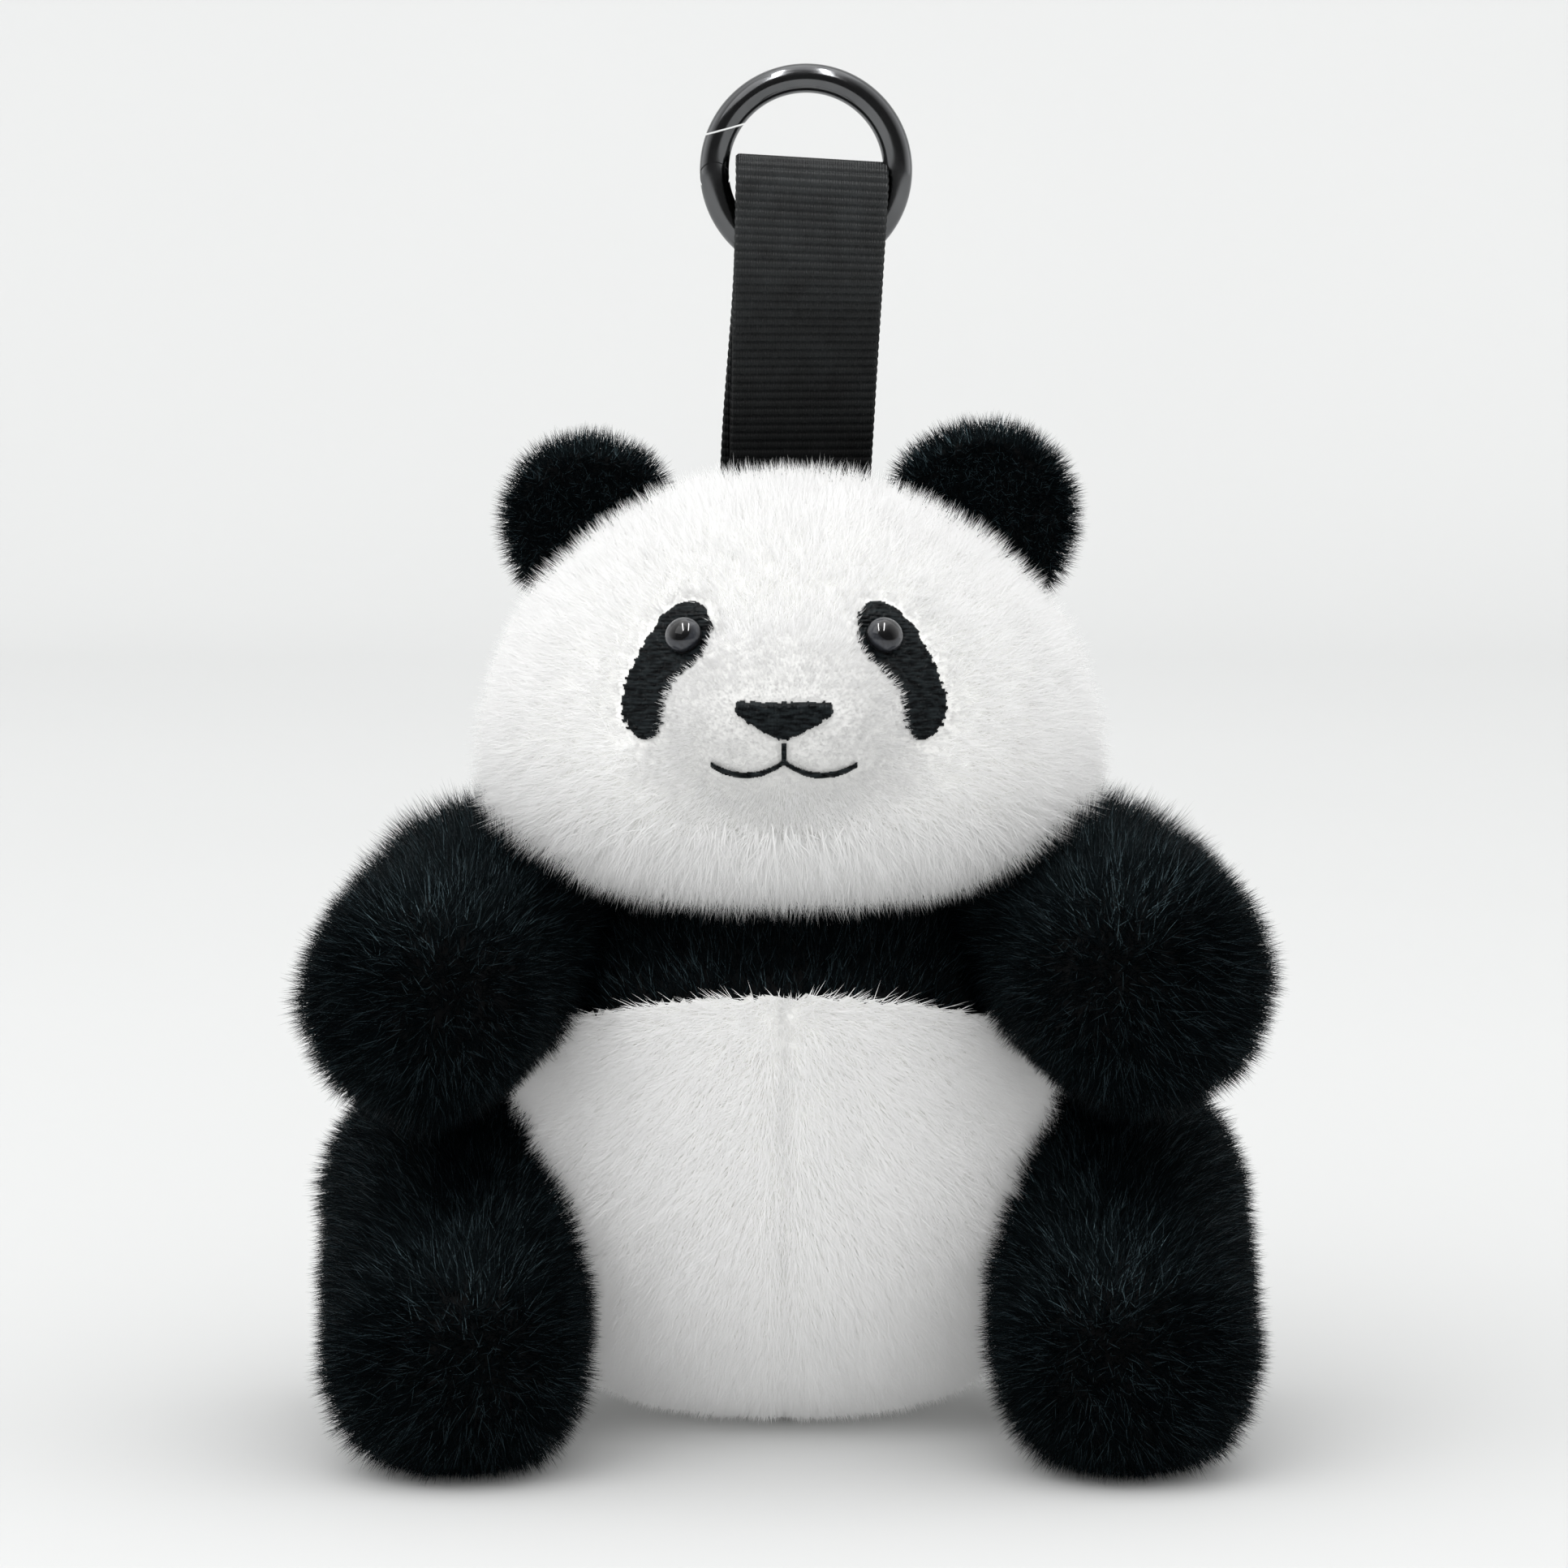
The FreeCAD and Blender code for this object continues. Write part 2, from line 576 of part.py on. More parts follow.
def loop_side(away, thickness):
    """One leg's line of the upper loop, from its foot up to where the fold starts."""
    fold = RING_CENTRE.z - FOLD_BELOW_CENTRE
    eye_foot = RING_CENTRE.z - RING_RADIUS - WIRE_RADIUS - SLEEVE_DEPTH
    half_low, half = STRAP_FLEX_GAP / 2 + thickness, STRAP_EYE_GAP / 2 + thickness
    return [Vector(0, away * half_low, STRAP_FLEX_Z), Vector(0, away * half, eye_foot),
            Vector(0, away * half, fold)]


def upper_loop():
    """The webbing from the upper flex line up over the ring's wire and back down."""
    edges = []
    for thickness in (0.0, WEB_THICKNESS):
        front, back = loop_side(-1, thickness), loop_side(1, thickness)
        half = STRAP_EYE_GAP / 2 + thickness
        crest = Vector(0, 0, front[2].z + half)
        for foot, knee, fold in (front, back):
            edges += [Part.makeLine(foot, knee), Part.makeLine(knee, fold)]
        edges.append(Part.Arc(front[2], crest, back[2]).toShape())
    for away in (-1, 1):
        edges.append(Part.makeLine(loop_side(away, 0.0)[0], loop_side(away, WEB_THICKNESS)[0]))
    loop = web(Part.Wire(Part.sortEdges(edges)[0]))

    for sign in (-1, 1):
        edge_x = STRAP_X + sign * WEB_WIDTH / 2
        middle_x = edge_x - sign * WEB_CORNER
        depth = 2 * WEB_WIDTH
        front_y = STRAP_Y - depth / 2
        corner = Part.makeBox(WEB_CORNER, depth, WEB_CORNER,
                              Vector(min(edge_x, middle_x), front_y, crest.z - WEB_CORNER))
        round_off = Part.makeCylinder(WEB_CORNER, depth,
                                      Vector(middle_x, front_y, crest.z - WEB_CORNER),
                                      Vector(0, 1, 0))
        loop = loop.cut(corner.cut(round_off))
    return loop


def ring_point(radius, degrees):
    """A point in the ring's plane."""
    a = math.radians(degrees)
    return RING_CENTRE + Vector(radius * math.cos(a), 0, radius * math.sin(a))


def slab(y_half):
    """A plate in the ring's plane, thin along Y."""
    half = 2 * RING_RADIUS
    return Part.makeBox(2 * half, 2 * y_half, 2 * half, RING_CENTRE - Vector(half, y_half, half))


def wedge(start, end):
    """A sector of the ring's plane between two angles, thicker than the wire."""
    steps = max(2, int(abs(end - start) / 30) + 1)
    far = SECTOR_RADIUS
    rim = [ring_point(far, start + (end - start) * i / steps) for i in range(steps + 1)]
    points = [RING_CENTRE] + rim + [RING_CENTRE]
    face = Part.Face(Part.makePolygon(points))
    face.translate(Vector(0, -SECTOR_DEPTH / 2, 0))
    return face.extrude(Vector(0, SECTOR_DEPTH, 0))


def nose_region():
    """The space above the sloping line where the gate's nose meets the ring."""
    outer, inner = ring_point(*NOSE_OUTER), ring_point(*NOSE_INNER)
    slope = inner.sub(outer).normalize()
    lift = Vector(0, 0, RING_RADIUS)
    start, end = outer - slope * WIRE_RADIUS, inner + slope * WIRE_RADIUS
    face = Part.Face(Part.makePolygon([start, end, end + lift, start + lift, start]))
    face.translate(Vector(0, -2 * WIRE_RADIUS, 0))
    return face.extrude(Vector(0, 4 * WIRE_RADIUS, 0)), Vector(-slope.z, 0, slope.x)


def gate_spring():
    """A coil spring that lies along the wire, inside the gate, and the bore for it."""
    at = ring_point(RING_RADIUS, SPRING_ANGLE)
    angle = math.radians(SPRING_ANGLE)
    along = Vector(-math.sin(angle), 0, math.cos(angle))
    bore_radius, bore_length = SPRING_BORE
    bore = Part.makeCylinder(bore_radius, bore_length, at - along * (bore_length / 2), along)
    radius, wire, length, turns = SPRING_COIL
    helix = Part.Wire(Part.makeHelix(length / turns, length, radius))
    section = Part.Wire([Part.makeCircle(wire, Vector(radius, 0, 0), Vector(0, 1, 0))])
    coil = helix.makePipeShell([section], True, True)
    coil.Placement = Placement(at - along * (length / 2), Rotation(Vector(0, 0, 1), along))
    return coil, bore


def build_ring():
    """A wire ring with a gate that swings inwards on a pin, closed by a small coil spring."""
    torus = Part.makeTorus(RING_RADIUS, WIRE_RADIUS, RING_CENTRE, Vector(0, 1, 0))
    pivot = ring_point(RING_RADIUS, PIN_ANGLE)

    def round_pin(radius, half_length=2 * WIRE_RADIUS):
        return Part.makeCylinder(radius, 2 * half_length, pivot - Vector(0, half_length, 0),
                                 Vector(0, 1, 0))

    def pin_shape(radius, front, back):
        """A rod on the pin's line, between two distances before and behind the wire's middle."""
        return Part.makeCylinder(radius, front + back, pivot - Vector(0, front, 0),
                                 Vector(0, 1, 0))

    def arc(start, end):
        return torus.common(wedge(start, end))

    above_nose, up = nose_region()
    far_side = (PIN_ANGLE + GATE_SIDE_START + 360) / 2
    gate_side = arc(GATE_SIDE_START, PIN_ANGLE)
    ring = arc(PIN_ANGLE, far_side).fuse(arc(far_side, GATE_SIDE_START + 360))
    ring = ring.fuse(gate_side.common(above_nose))
    ring = ring.fuse(torus.common(round_pin(WIRE_RADIUS))).removeSplitter()
    ring = ring.cut(round_pin(WIRE_RADIUS + GAP, TONGUE / 2 + GAP))
    covered = WIRE_RADIUS - PIN_COVER
    hole = pin_shape(PIN_RADIUS + PIN_FIT, covered + PIN_FIT, 2 * WIRE_RADIUS)
    ring = ring.cut(hole)

    above_nose.translate(up * -NOSE_GAP)
    gate = gate_side.cut(above_nose).cut(round_pin(WIRE_RADIUS + GAP))
    blade = slab(TONGUE / 2)
    eye = arc(PIN_ANGLE - TONGUE_ANGLE, PIN_ANGLE + TONGUE_ANGLE).common(round_pin(WIRE_RADIUS))
    neck = arc(PIN_ANGLE - TONGUE_ANGLE - 2, PIN_ANGLE - 2)
    gate = gate.fuse(eye.common(blade)).fuse(neck.common(blade)).removeSplitter()
    gate = gate.cut(hole)
    coil, bore = gate_spring()

    save("ring_body", ring)
    save("ring_gate", gate.cut(bore))
    save("gate_pin", pin_shape(PIN_RADIUS, covered, WIRE_RADIUS - GAP))
    save("gate_spring", coil)


def main():
    os.makedirs(OUT_FOLDER, exist_ok=True)
    build_head()
    build_ears()
    torso_skin = build_torso()
    build_limbs()
    build_tail(torso_skin)
    build_strap()
    build_ring()


main()
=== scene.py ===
import math

import bmesh
import bpy
import numpy as np
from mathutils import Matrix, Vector
from mathutils.bvhtree import BVHTree


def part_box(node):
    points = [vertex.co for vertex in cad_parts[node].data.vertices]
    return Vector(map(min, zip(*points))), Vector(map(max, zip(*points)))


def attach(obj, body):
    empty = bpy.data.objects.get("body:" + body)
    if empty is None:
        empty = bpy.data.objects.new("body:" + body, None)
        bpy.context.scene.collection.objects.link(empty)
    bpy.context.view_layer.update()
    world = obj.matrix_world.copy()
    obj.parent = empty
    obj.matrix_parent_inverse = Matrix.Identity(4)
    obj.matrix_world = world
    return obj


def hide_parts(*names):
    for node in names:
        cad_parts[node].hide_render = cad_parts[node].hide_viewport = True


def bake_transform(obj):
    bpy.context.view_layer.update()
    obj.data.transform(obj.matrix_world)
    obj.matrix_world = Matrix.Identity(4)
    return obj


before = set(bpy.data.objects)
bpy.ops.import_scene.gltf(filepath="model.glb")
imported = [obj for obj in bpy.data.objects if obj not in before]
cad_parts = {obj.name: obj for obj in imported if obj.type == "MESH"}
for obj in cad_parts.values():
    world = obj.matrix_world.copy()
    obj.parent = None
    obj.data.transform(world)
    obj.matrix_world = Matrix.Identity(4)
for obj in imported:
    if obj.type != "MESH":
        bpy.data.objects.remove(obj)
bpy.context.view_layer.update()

# A sitting plush panda on a webbing strap with a gate ring. Metres, +Z up, facing -Y.
# Soft bodies are skins taken from the frame's solids, puffed by cloth simulation between
# their seams, and covered with a pile of separate fibres.

MM = 0.001


# ---------------------------------------------------------------- meshes

def box_of(*nodes):
    """Lowest and highest corners of several CAD nodes together, as arrays."""
    corners = [np.array([list(c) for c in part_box(n)]) for n in nodes]
    return np.min([c[0] for c in corners], axis=0), np.max([c[1] for c in corners], axis=0)


def node_tree_of(*nodes):
    """A ray-casting tree of several CAD nodes' meshes together."""
    points, faces = [], []
    for name in nodes:
        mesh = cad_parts[name].data
        start = len(points)
        points += [v.co.copy() for v in mesh.vertices]
        faces += [[start + i for i in p.vertices] for p in mesh.polygons]
    return BVHTree.FromPolygons(points, faces)


def mesh_tree(points, faces):
    return BVHTree.FromPolygons([Vector(p) for p in points], [list(map(int, f)) for f in faces])


def add_mesh(name, points, faces, smooth=True):
    """A new object from arrays of points and equal-sided faces."""
    points, faces = np.asarray(points, np.float32), np.asarray(faces, np.int32)
    sides = faces.shape[1]
    mesh = bpy.data.meshes.new(name)
    mesh.vertices.add(len(points))
    mesh.vertices.foreach_set("co", points.ravel())
    mesh.loops.add(faces.size)
    mesh.loops.foreach_set("vertex_index", faces.ravel())
    mesh.polygons.add(len(faces))
    mesh.polygons.foreach_set("loop_start", np.arange(0, faces.size, sides, dtype=np.int32))
    mesh.polygons.foreach_set("use_smooth", np.full(len(faces), smooth))
    mesh.update(calc_edges=True)
    mesh.validate()
    obj = bpy.data.objects.new(name, mesh)
    bpy.context.scene.collection.objects.link(obj)
    return obj


def points_of(obj):
    co = np.empty(len(obj.data.vertices) * 3, np.float32)
    obj.data.vertices.foreach_get("co", co)
    return co.reshape(-1, 3).astype(float)


def faces_of(obj):
    """The faces of a triangle mesh."""
    loops = np.empty(len(obj.data.loops), np.int32)
    obj.data.loops.foreach_get("vertex_index", loops)
    return loops.reshape(-1, 3)


def vertex_normals(points, faces):
    """Area-weighted normals at the points."""
    a, b, c = (points[faces[:, i]] for i in range(3))
    face_normals = np.cross(b - a, c - a)
    total = np.zeros_like(points)
    for i in range(3):
        np.add.at(total, faces[:, i], face_normals)
    return unit(total)


def unit(v):
    return v / np.maximum(np.linalg.norm(v, axis=1, keepdims=True), 1e-12)


def along_skin(way, normal):
    """The part of each way that runs along the skin."""
    return way - normal * (way * normal).sum(1)[:, None]


def smooth_step(low, high, x):
    t = np.clip((x - low) / (high - low), 0, 1)
    return t * t * (3 - 2 * t)


def wave_noise(points, size, seed, octaves=3):
    """Smooth noise in -1..1 at each point, from sums of waves. size is the wavelength."""
    source = np.random.default_rng(seed)
    total, weight = np.zeros(len(points)), 0.0
    for octave in range(octaves):
        scale = 2 * math.pi / size * 1.9 ** octave
        for _ in range(5):
            way = source.normal(size=3)
            way /= np.linalg.norm(way)
            phase = source.uniform(0, 2 * math.pi)
            total += np.sin(points @ way * scale * source.uniform(0.6, 1.3) + phase) / 1.7 ** octave
            weight += 0.5 / 1.7 ** octave
    return total / weight


# ---------------------------------------------------------------- materials

def material(name, rough=0.5, specular=0.5):
    """A new node material and its Principled shader."""
    mat = bpy.data.materials.new(name)
    mat.use_nodes = True
    shader = mat.node_tree.nodes["Principled BSDF"]
    shader.inputs["Roughness"].default_value = rough
    shader.inputs["Specular IOR Level"].default_value = specular
    return mat, shader


def node(mat, kind, **settings):
    """A node with its settings; a setting whose name is an input's sets that input."""
    made = mat.node_tree.nodes.new(kind)
    for key, value in settings.items():
        if key in made.inputs:
            made.inputs[key].default_value = value
        else:
            setattr(made, key, value)
    return made


def join(mat, source, target):
    mat.node_tree.links.new(source, target)


def ramp(mat, source, *stops):
    """A colour ramp over (place, colour) stops."""
    made = node(mat, "ShaderNodeValToRGB")
    elements = made.color_ramp.elements
    while len(elements) < len(stops):
        elements.new(0.5)
    for element, (place, colour) in zip(elements, stops):
        element.position = place
        element.color = (*colour, 1)
    join(mat, source, made.inputs["Fac"])
    return made.outputs["Color"]


def object_place(mat):
    """The object's own coordinates, for a texture to follow."""
    return node(mat, "ShaderNodeTexCoord").outputs["Object"]


def texture(mat, kind, **settings):
    made = node(mat, kind, **settings)
    join(mat, object_place(mat), made.inputs["Vector"])
    return made


def clouds(mat, scale, detail, low, high):
    """Two tones in soft clouds; low and high are the noise's value and the tone there."""
    noise = texture(mat, "ShaderNodeTexNoise", Scale=scale, Detail=detail)
    return ramp(mat, noise.outputs["Fac"], low, high)


def times(mat, colour, factor):
    """Two colours multiplied."""
    made = node(mat, "ShaderNodeMix", data_type="RGBA", blend_type="MULTIPLY")
    made.inputs[0].default_value = 1.0
    join(mat, colour, made.inputs[6])
    join(mat, factor, made.inputs[7])
    return made.outputs[2]


def rescaled(mat, source, from_low, from_high, to_low, to_high):
    """A value moved from one range to another, and kept inside it."""
    made = node(mat, "ShaderNodeMapRange")
    limits = {"From Min": from_low, "From Max": from_high, "To Min": to_low, "To Max": to_high}
    for key, value in limits.items():
        made.inputs[key].default_value = value
    join(mat, source, made.inputs["Value"])
    return made.outputs["Result"]


def bump(mat, shader, height, strength, distance):
    made = node(mat, "ShaderNodeBump", Strength=strength, Distance=distance)
    join(mat, height, made.inputs["Height"])
    join(mat, made.outputs["Normal"], shader.inputs["Normal"])


FIBRE_UV = "OFBake"      # the name of the fibres' map


def fibre_material(name, root, tip, tints, rough, shine, glow=0.0, sheen=(1, 1, 1)):
    """Pile: colour runs from a darker root, as painted shade deep in the pile, to the tip, and each
    fibre has its own tint and shine.

    tints are three grey levels: of the darkest fibres, of most, and of the few brightest.
    shine is the gloss of most fibres and of the few, and sheen its colour. glow stands for
    the light that a white pile passes on from fibre to fibre, more often than is followed."""
    mat, shader = material(name, rough, shine[0])
    place = node(mat, "ShaderNodeUVMap", uv_map=FIBRE_UV)
    parts = node(mat, "ShaderNodeSeparateXYZ")
    join(mat, place.outputs["UV"], parts.inputs["Vector"])
    # darker at the root: painted shade deep in the pile
    along = ramp(mat, parts.outputs["Y"], (0.0, root), (0.55, tip), (1.0, tip))
    own = ramp(mat, parts.outputs["X"], (0.0, (tints[0],) * 3), (0.85, (tints[1],) * 3),
               (1.0, (tints[2],) * 3))
    colour = times(mat, along, own)
    join(mat, colour, shader.inputs["Base Color"])
    join(mat, colour, shader.inputs["Emission Color"])
    shader.inputs["Emission Strength"].default_value = glow
    shader.inputs["Specular Tint"].default_value = (*sheen, 1)
    gloss = ramp(mat, parts.outputs["X"], (0.82, (shine[0],) * 3), (1.0, (shine[1],) * 3))
    join(mat, gloss, shader.inputs["Specular IOR Level"])
    return mat


def backing_material(name, dark, light, cropped=None):
    """The knitted backing under the pile: a fine loop pattern with uneven colour.

    cropped is the middle of a place with short pile, round which the backing is painted darker,
    as painted shade, so that what shows of it between the fibres is as bright as they are."""
    mat, shader = material(name, 0.9, 0.2)
    loops = texture(mat, "ShaderNodeTexVoronoi", Scale=900.0)
    colour = clouds(mat, 60.0, 4.0, (0.3, dark), (0.7, light))
    if cropped is not None:
        gap = node(mat, "ShaderNodeVectorMath", operation="DISTANCE")
        gap.inputs[1].default_value = tuple(cropped)
        join(mat, object_place(mat), gap.inputs[0])
        # painted shade: the backing darkens towards the middle of the short pile
        dim = rescaled(mat, gap.outputs["Value"], 18 * MM, 34 * MM, 0.78, 1.0)
        colour = times(mat, colour, dim)
    join(mat, colour, shader.inputs["Base Color"])
    bump(mat, shader, loops.outputs["Distance"], 0.5, 0.3 * MM)
    return mat


def thread_material(name, dark, light, rough):
    """Embroidery thread: fine twisted fibres with a silky shine."""
    mat, shader = material(name, rough, 0.07)
    stretched = texture(mat, "ShaderNodeMapping", Scale=(1.0, 1.0, 4.0))
    fibres = node(mat, "ShaderNodeTexNoise", Scale=1000.0, Detail=3.0)
    patches = node(mat, "ShaderNodeTexNoise", Scale=520.0, Detail=3.0)
    for noise in (fibres, patches):
        join(mat, stretched.outputs["Vector"], noise.inputs["Vector"])
    colour = ramp(mat, patches.outputs["Fac"], (0.38, dark), (0.62, light))
    join(mat, colour, shader.inputs["Base Color"])
    bump(mat, shader, fibres.outputs["Fac"], 0.6, 0.15 * MM)
    return mat


def webbing_material():
    """Polyester webbing: warp threads across each rib, with painted shade that darkens it towards
    the crown and a painted sheen that makes it paler and shinier towards the fold.
    """
    mat, shader = material("webbing_weave", 0.5, 0.3)
    warp = texture(mat, "ShaderNodeTexWave", Scale=700.0, Distortion=1.5, Detail=1.0)
    warp.bands_direction = "X"
    fibres = texture(mat, "ShaderNodeTexNoise", Scale=2600.0, Detail=2.0)
    mixed = node(mat, "ShaderNodeMath", operation="MULTIPLY_ADD")
    join(mat, fibres.outputs["Fac"], mixed.inputs[0])
    mixed.inputs[1].default_value = 0.5
    join(mat, warp.outputs["Fac"], mixed.inputs[2])
    colour = clouds(mat, 220.0, 5.0, (0.3, (0.004, 0.005, 0.0055)),
                    (0.7, (0.012, 0.0145, 0.0155)))
    parts = texture(mat, "ShaderNodeSeparateXYZ")
    # painted shade and sheen: darker low on the strap, paler and glossier towards the fold
    painted_shade_and_sheen = rescaled(mat, parts.outputs["Z"], 160 * MM, 205 * MM, 0.25, 1.2)
    join(mat, times(mat, colour, painted_shade_and_sheen), shader.inputs["Base Color"])
    shine = node(mat, "ShaderNodeMath", operation="MULTIPLY")
    shine.inputs[1].default_value = 0.4
    join(mat, painted_shade_and_sheen, shine.inputs[0])
    join(mat, shine.outputs["Value"], shader.inputs["Specular IOR Level"])
    bump(mat, shader, mixed.outputs["Value"], 0.8, 0.16 * MM)
    return mat


def plated_material(name, colour, rough):
    """Polished black plate with a little uneven gloss and fine scuffs."""
    mat, shader = material(name, rough)
    shader.inputs["Metallic"].default_value = 1.0
    scuffs = texture(mat, "ShaderNodeTexNoise", Scale=900.0, Detail=6.0, Roughness=0.7)
    paler = tuple(min(1.0, c * 1.25) for c in colour)
    tones = clouds(mat, 130.0, 3.0, (0.35, colour), (0.7, paler))
    join(mat, tones, shader.inputs["Base Color"])
    gloss = rescaled(mat, scuffs.outputs["Fac"], 0.0, 1.0, rough * 0.7, rough * 1.6)
    join(mat, gloss, shader.inputs["Roughness"])
    return mat


def plain_material(name, dark, light, rough):
    """Moulded plastic or fibre: soft clouds of two close tones."""
    mat, shader = material(name, rough)
    tones = clouds(mat, 300.0, 4.0, (0.35, dark), (0.65, light))
    join(mat, tones, shader.inputs["Base Color"])
    return mat


def eye_material(name, centre, way, pupil, iris):
    """A glossy dome: black pupil, dark grey iris with fine mottling, black rim."""
    mat, shader = material(name, 0.35, 0.1)
    offset = node(mat, "ShaderNodeVectorMath", operation="SUBTRACT")
    offset.inputs[1].default_value = tuple(centre)
    join(mat, object_place(mat), offset.inputs[0])
    across = node(mat, "ShaderNodeVectorMath", operation="CROSS_PRODUCT")
    across.inputs[1].default_value = tuple(way)
    join(mat, offset.outputs[0], across.inputs[0])
    radius = node(mat, "ShaderNodeVectorMath", operation="LENGTH")
    join(mat, across.outputs[0], radius.inputs[0])
    share = node(mat, "ShaderNodeMath", operation="DIVIDE")
    share.inputs[1].default_value = 3.2 * MM
    join(mat, radius.outputs["Value"], share.inputs[0])
    bright = tuple(c * 1.7 for c in iris)
    own = clouds(mat, 1500.0, 3.0, (0.35, iris), (0.65, bright))
    rings = ramp(mat, share.outputs["Value"], (0.0, (0, 0, 0)), (0.52, (0, 0, 0)),
                 (0.62, (0.6, 0.6, 0.6)), (0.84, (1, 1, 1)), (0.93, (0.25, 0.25, 0.25)))
    mixed = node(mat, "ShaderNodeMix", data_type="RGBA")
    join(mat, rings, mixed.inputs[0])
    mixed.inputs[6].default_value = (*pupil, 1)
    join(mat, own, mixed.inputs[7])
    join(mat, mixed.outputs[2], shader.inputs["Base Color"])
    shader.inputs["Coat Weight"].default_value = 1.0
    shader.inputs["Coat Roughness"].default_value = 0.01
    return mat


# ---------------------------------------------------------------- soft skins

SKIN_LEVEL = 6           # subdivisions of the sphere that each skin starts as
TUCK = 0.8 * MM          # how far a skin starts inside its solid before it is puffed
PUFF_CAP = 1.7 * MM      # the most that the simulation may move a point
SEAM_HALF = 1.3 * MM     # half the width of the strip that a seam holds
CLOTH_FRAMES = 20
FLOOR_GAP = 0.05 * MM    # the least height of a skin over the floor
CHEEK_SHIFT = 1.0 * MM   # how much fuller the left cheek is than the right
HEAD_FULL = 1.6 * MM     # how much less than TUCK the sides of the head start inside
ARM_FULL = 1.0 * MM      # how far the outer sides of the arms start outside
EAR_FULL = 0.7 * MM      # how far the ears start outside


def sphere_mesh(level):
    """Points of a round mesh, as unit vectors, and its triangles."""
    made = bmesh.new()
    bmesh.ops.create_icosphere(made, subdivisions=level, radius=1.0)
    made.verts.ensure_lookup_table()
    ways = np.array([v.co[:] for v in made.verts])
    faces = np.array([[v.index for v in f.verts] for f in made.faces])
    made.free()
    return ways, faces


def relaxed(values, faces, rounds, held=None):
    """Values at the points of a mesh, averaged with their neighbours' again and again."""
    pairs = np.concatenate([faces[:, [0, 1]], faces[:, [1, 2]], faces[:, [2, 0]]])
    for _ in range(rounds):
        total, count = np.zeros_like(values), np.zeros(len(values))
        for a, b in ((0, 1), (1, 0)):
            np.add.at(total, pairs[:, a], values[pairs[:, b]])
            np.add.at(count, pairs[:, a], 1)
        share = total / (count if values.ndim == 1 else count[:, None])
        mixed = 0.5 * values + 0.5 * share
        values = mixed if held is None else np.where(held, values, mixed)
    return values


def skin_of(nodes, soften, level=SKIN_LEVEL, hole=None):
    """The outside of some CAD nodes as one closed skin. hole is a box to close over."""
    low, high = box_of(*nodes)
    centre, half = (low + high) / 2, (high - low) / 2
    ways, faces = sphere_mesh(level)
    ways = unit(ways * half)
    tree = node_tree_of(*nodes)
    far = 2 * np.linalg.norm(half)
    reach = np.full(len(ways), np.nan)
    for i, way in enumerate(ways):
        start = Vector(centre + way * far)
        hit = tree.ray_cast(start, Vector(-way))[0]
        if hit is not None:
            reach[i] = (hit - Vector(centre)).length
    points = centre + ways * reach[:, None]
    lost = np.isnan(reach)
    if hole is not None:
        lost |= ((points > hole[0]) & (points < hole[1])).all(1)
    reach[lost] = np.nanmean(reach)
    reach = relaxed(reach, faces, 250, held=~lost) if lost.any() else reach
    reach = relaxed(reach, faces, soften)
    return centre + ways * reach[:, None], faces


def press(obj, pinned):
    """Makes a skin a cloth under pressure from inside, held at the pinned points."""
    group = obj.vertex_groups.new(name="pin")
    group.add([int(i) for i in np.flatnonzero(pinned)], 1.0, "REPLACE")
    cloth = obj.modifiers.new("cloth", "CLOTH")
    settings = cloth.settings
    settings.use_pressure = True
    settings.uniform_pressure_force = 4.0
    settings.effector_weights.gravity = 0.0
    settings.vertex_group_mass = "pin"
    settings.quality = 4
    cloth.point_cache.frame_start = 1
    cloth.point_cache.frame_end = CLOTH_FRAMES


def swollen_points(obj, graph):
    """Where the simulation has put a skin's points."""
    swollen = obj.evaluated_get(graph).to_mesh()
    co = np.empty(len(swollen.vertices) * 3, np.float32)
    swollen.vertices.foreach_get("co", co)
    obj.evaluated_get(graph).to_mesh_clear()
    return co.reshape(-1, 3)


def puff(jobs):
    """Cloth-simulates several skins at once, each from inside its solid.

    A job is (name, points, faces, pinned mask, how far each point starts inside)."""
    made = []
    for name, points, faces, pinned, tuck in jobs:
        start = points - vertex_normals(points, faces) * tuck[:, None]
        obj = add_mesh(name, start, faces)
        made.append((obj, start, pinned))
        press(obj, pinned)
    for step in range(1, CLOTH_FRAMES + 1):
        bpy.context.scene.frame_set(step)
    graph = bpy.context.evaluated_depsgraph_get()
    for obj, start, pinned in made:
        faces = faces_of(obj)
        moved = swollen_points(obj, graph) - start
        size = np.linalg.norm(moved, axis=1, keepdims=True)
        moved *= np.minimum(1, PUFF_CAP / np.maximum(size, 1e-9))
        final = relaxed(start + moved, faces, 1)
        final[:, 2] = np.maximum(final[:, 2], FLOOR_GAP)
        obj.data.vertices.foreach_set("co", final.astype(np.float32).ravel())
        obj.modifiers.clear()
        obj.vertex_groups.clear()
        obj.data.update()
    return [obj for obj, _, _ in made]


# ---------------------------------------------------------------- pile

FIBRES_PER_PIECE = 62000 # more fibres than this are split over several pieces


def tuft_centres(points, size, seed):
    """For each point, the nearest of the scattered tuft centres.

    Each cell of a grid has one centre, at a spot mixed from the cell's own whole numbers."""
    cells = np.floor(points / size).astype(np.int64)
    best = np.full(len(points), np.inf)
    centre = np.zeros_like(points)
    for dx in (-1, 0, 1):
        for dy in (-1, 0, 1):
            for dz in (-1, 0, 1):
                cell = cells + (dx, dy, dz)
                mixed = cell @ np.array([73856093, 19349663, 83492791]) + seed * 7919
                spot = np.empty_like(points)
                for axis in range(3):
                    mixed = (mixed * 1103515245 + 12345) % 2147483648
                    spot[:, axis] = (cell[:, axis] + (mixed / 2147483648)) * size
                gap = np.linalg.norm(spot - points, axis=1)
                closer = gap < best
                best[closer] = gap[closer]
                centre[closer] = spot[closer]
    return centre


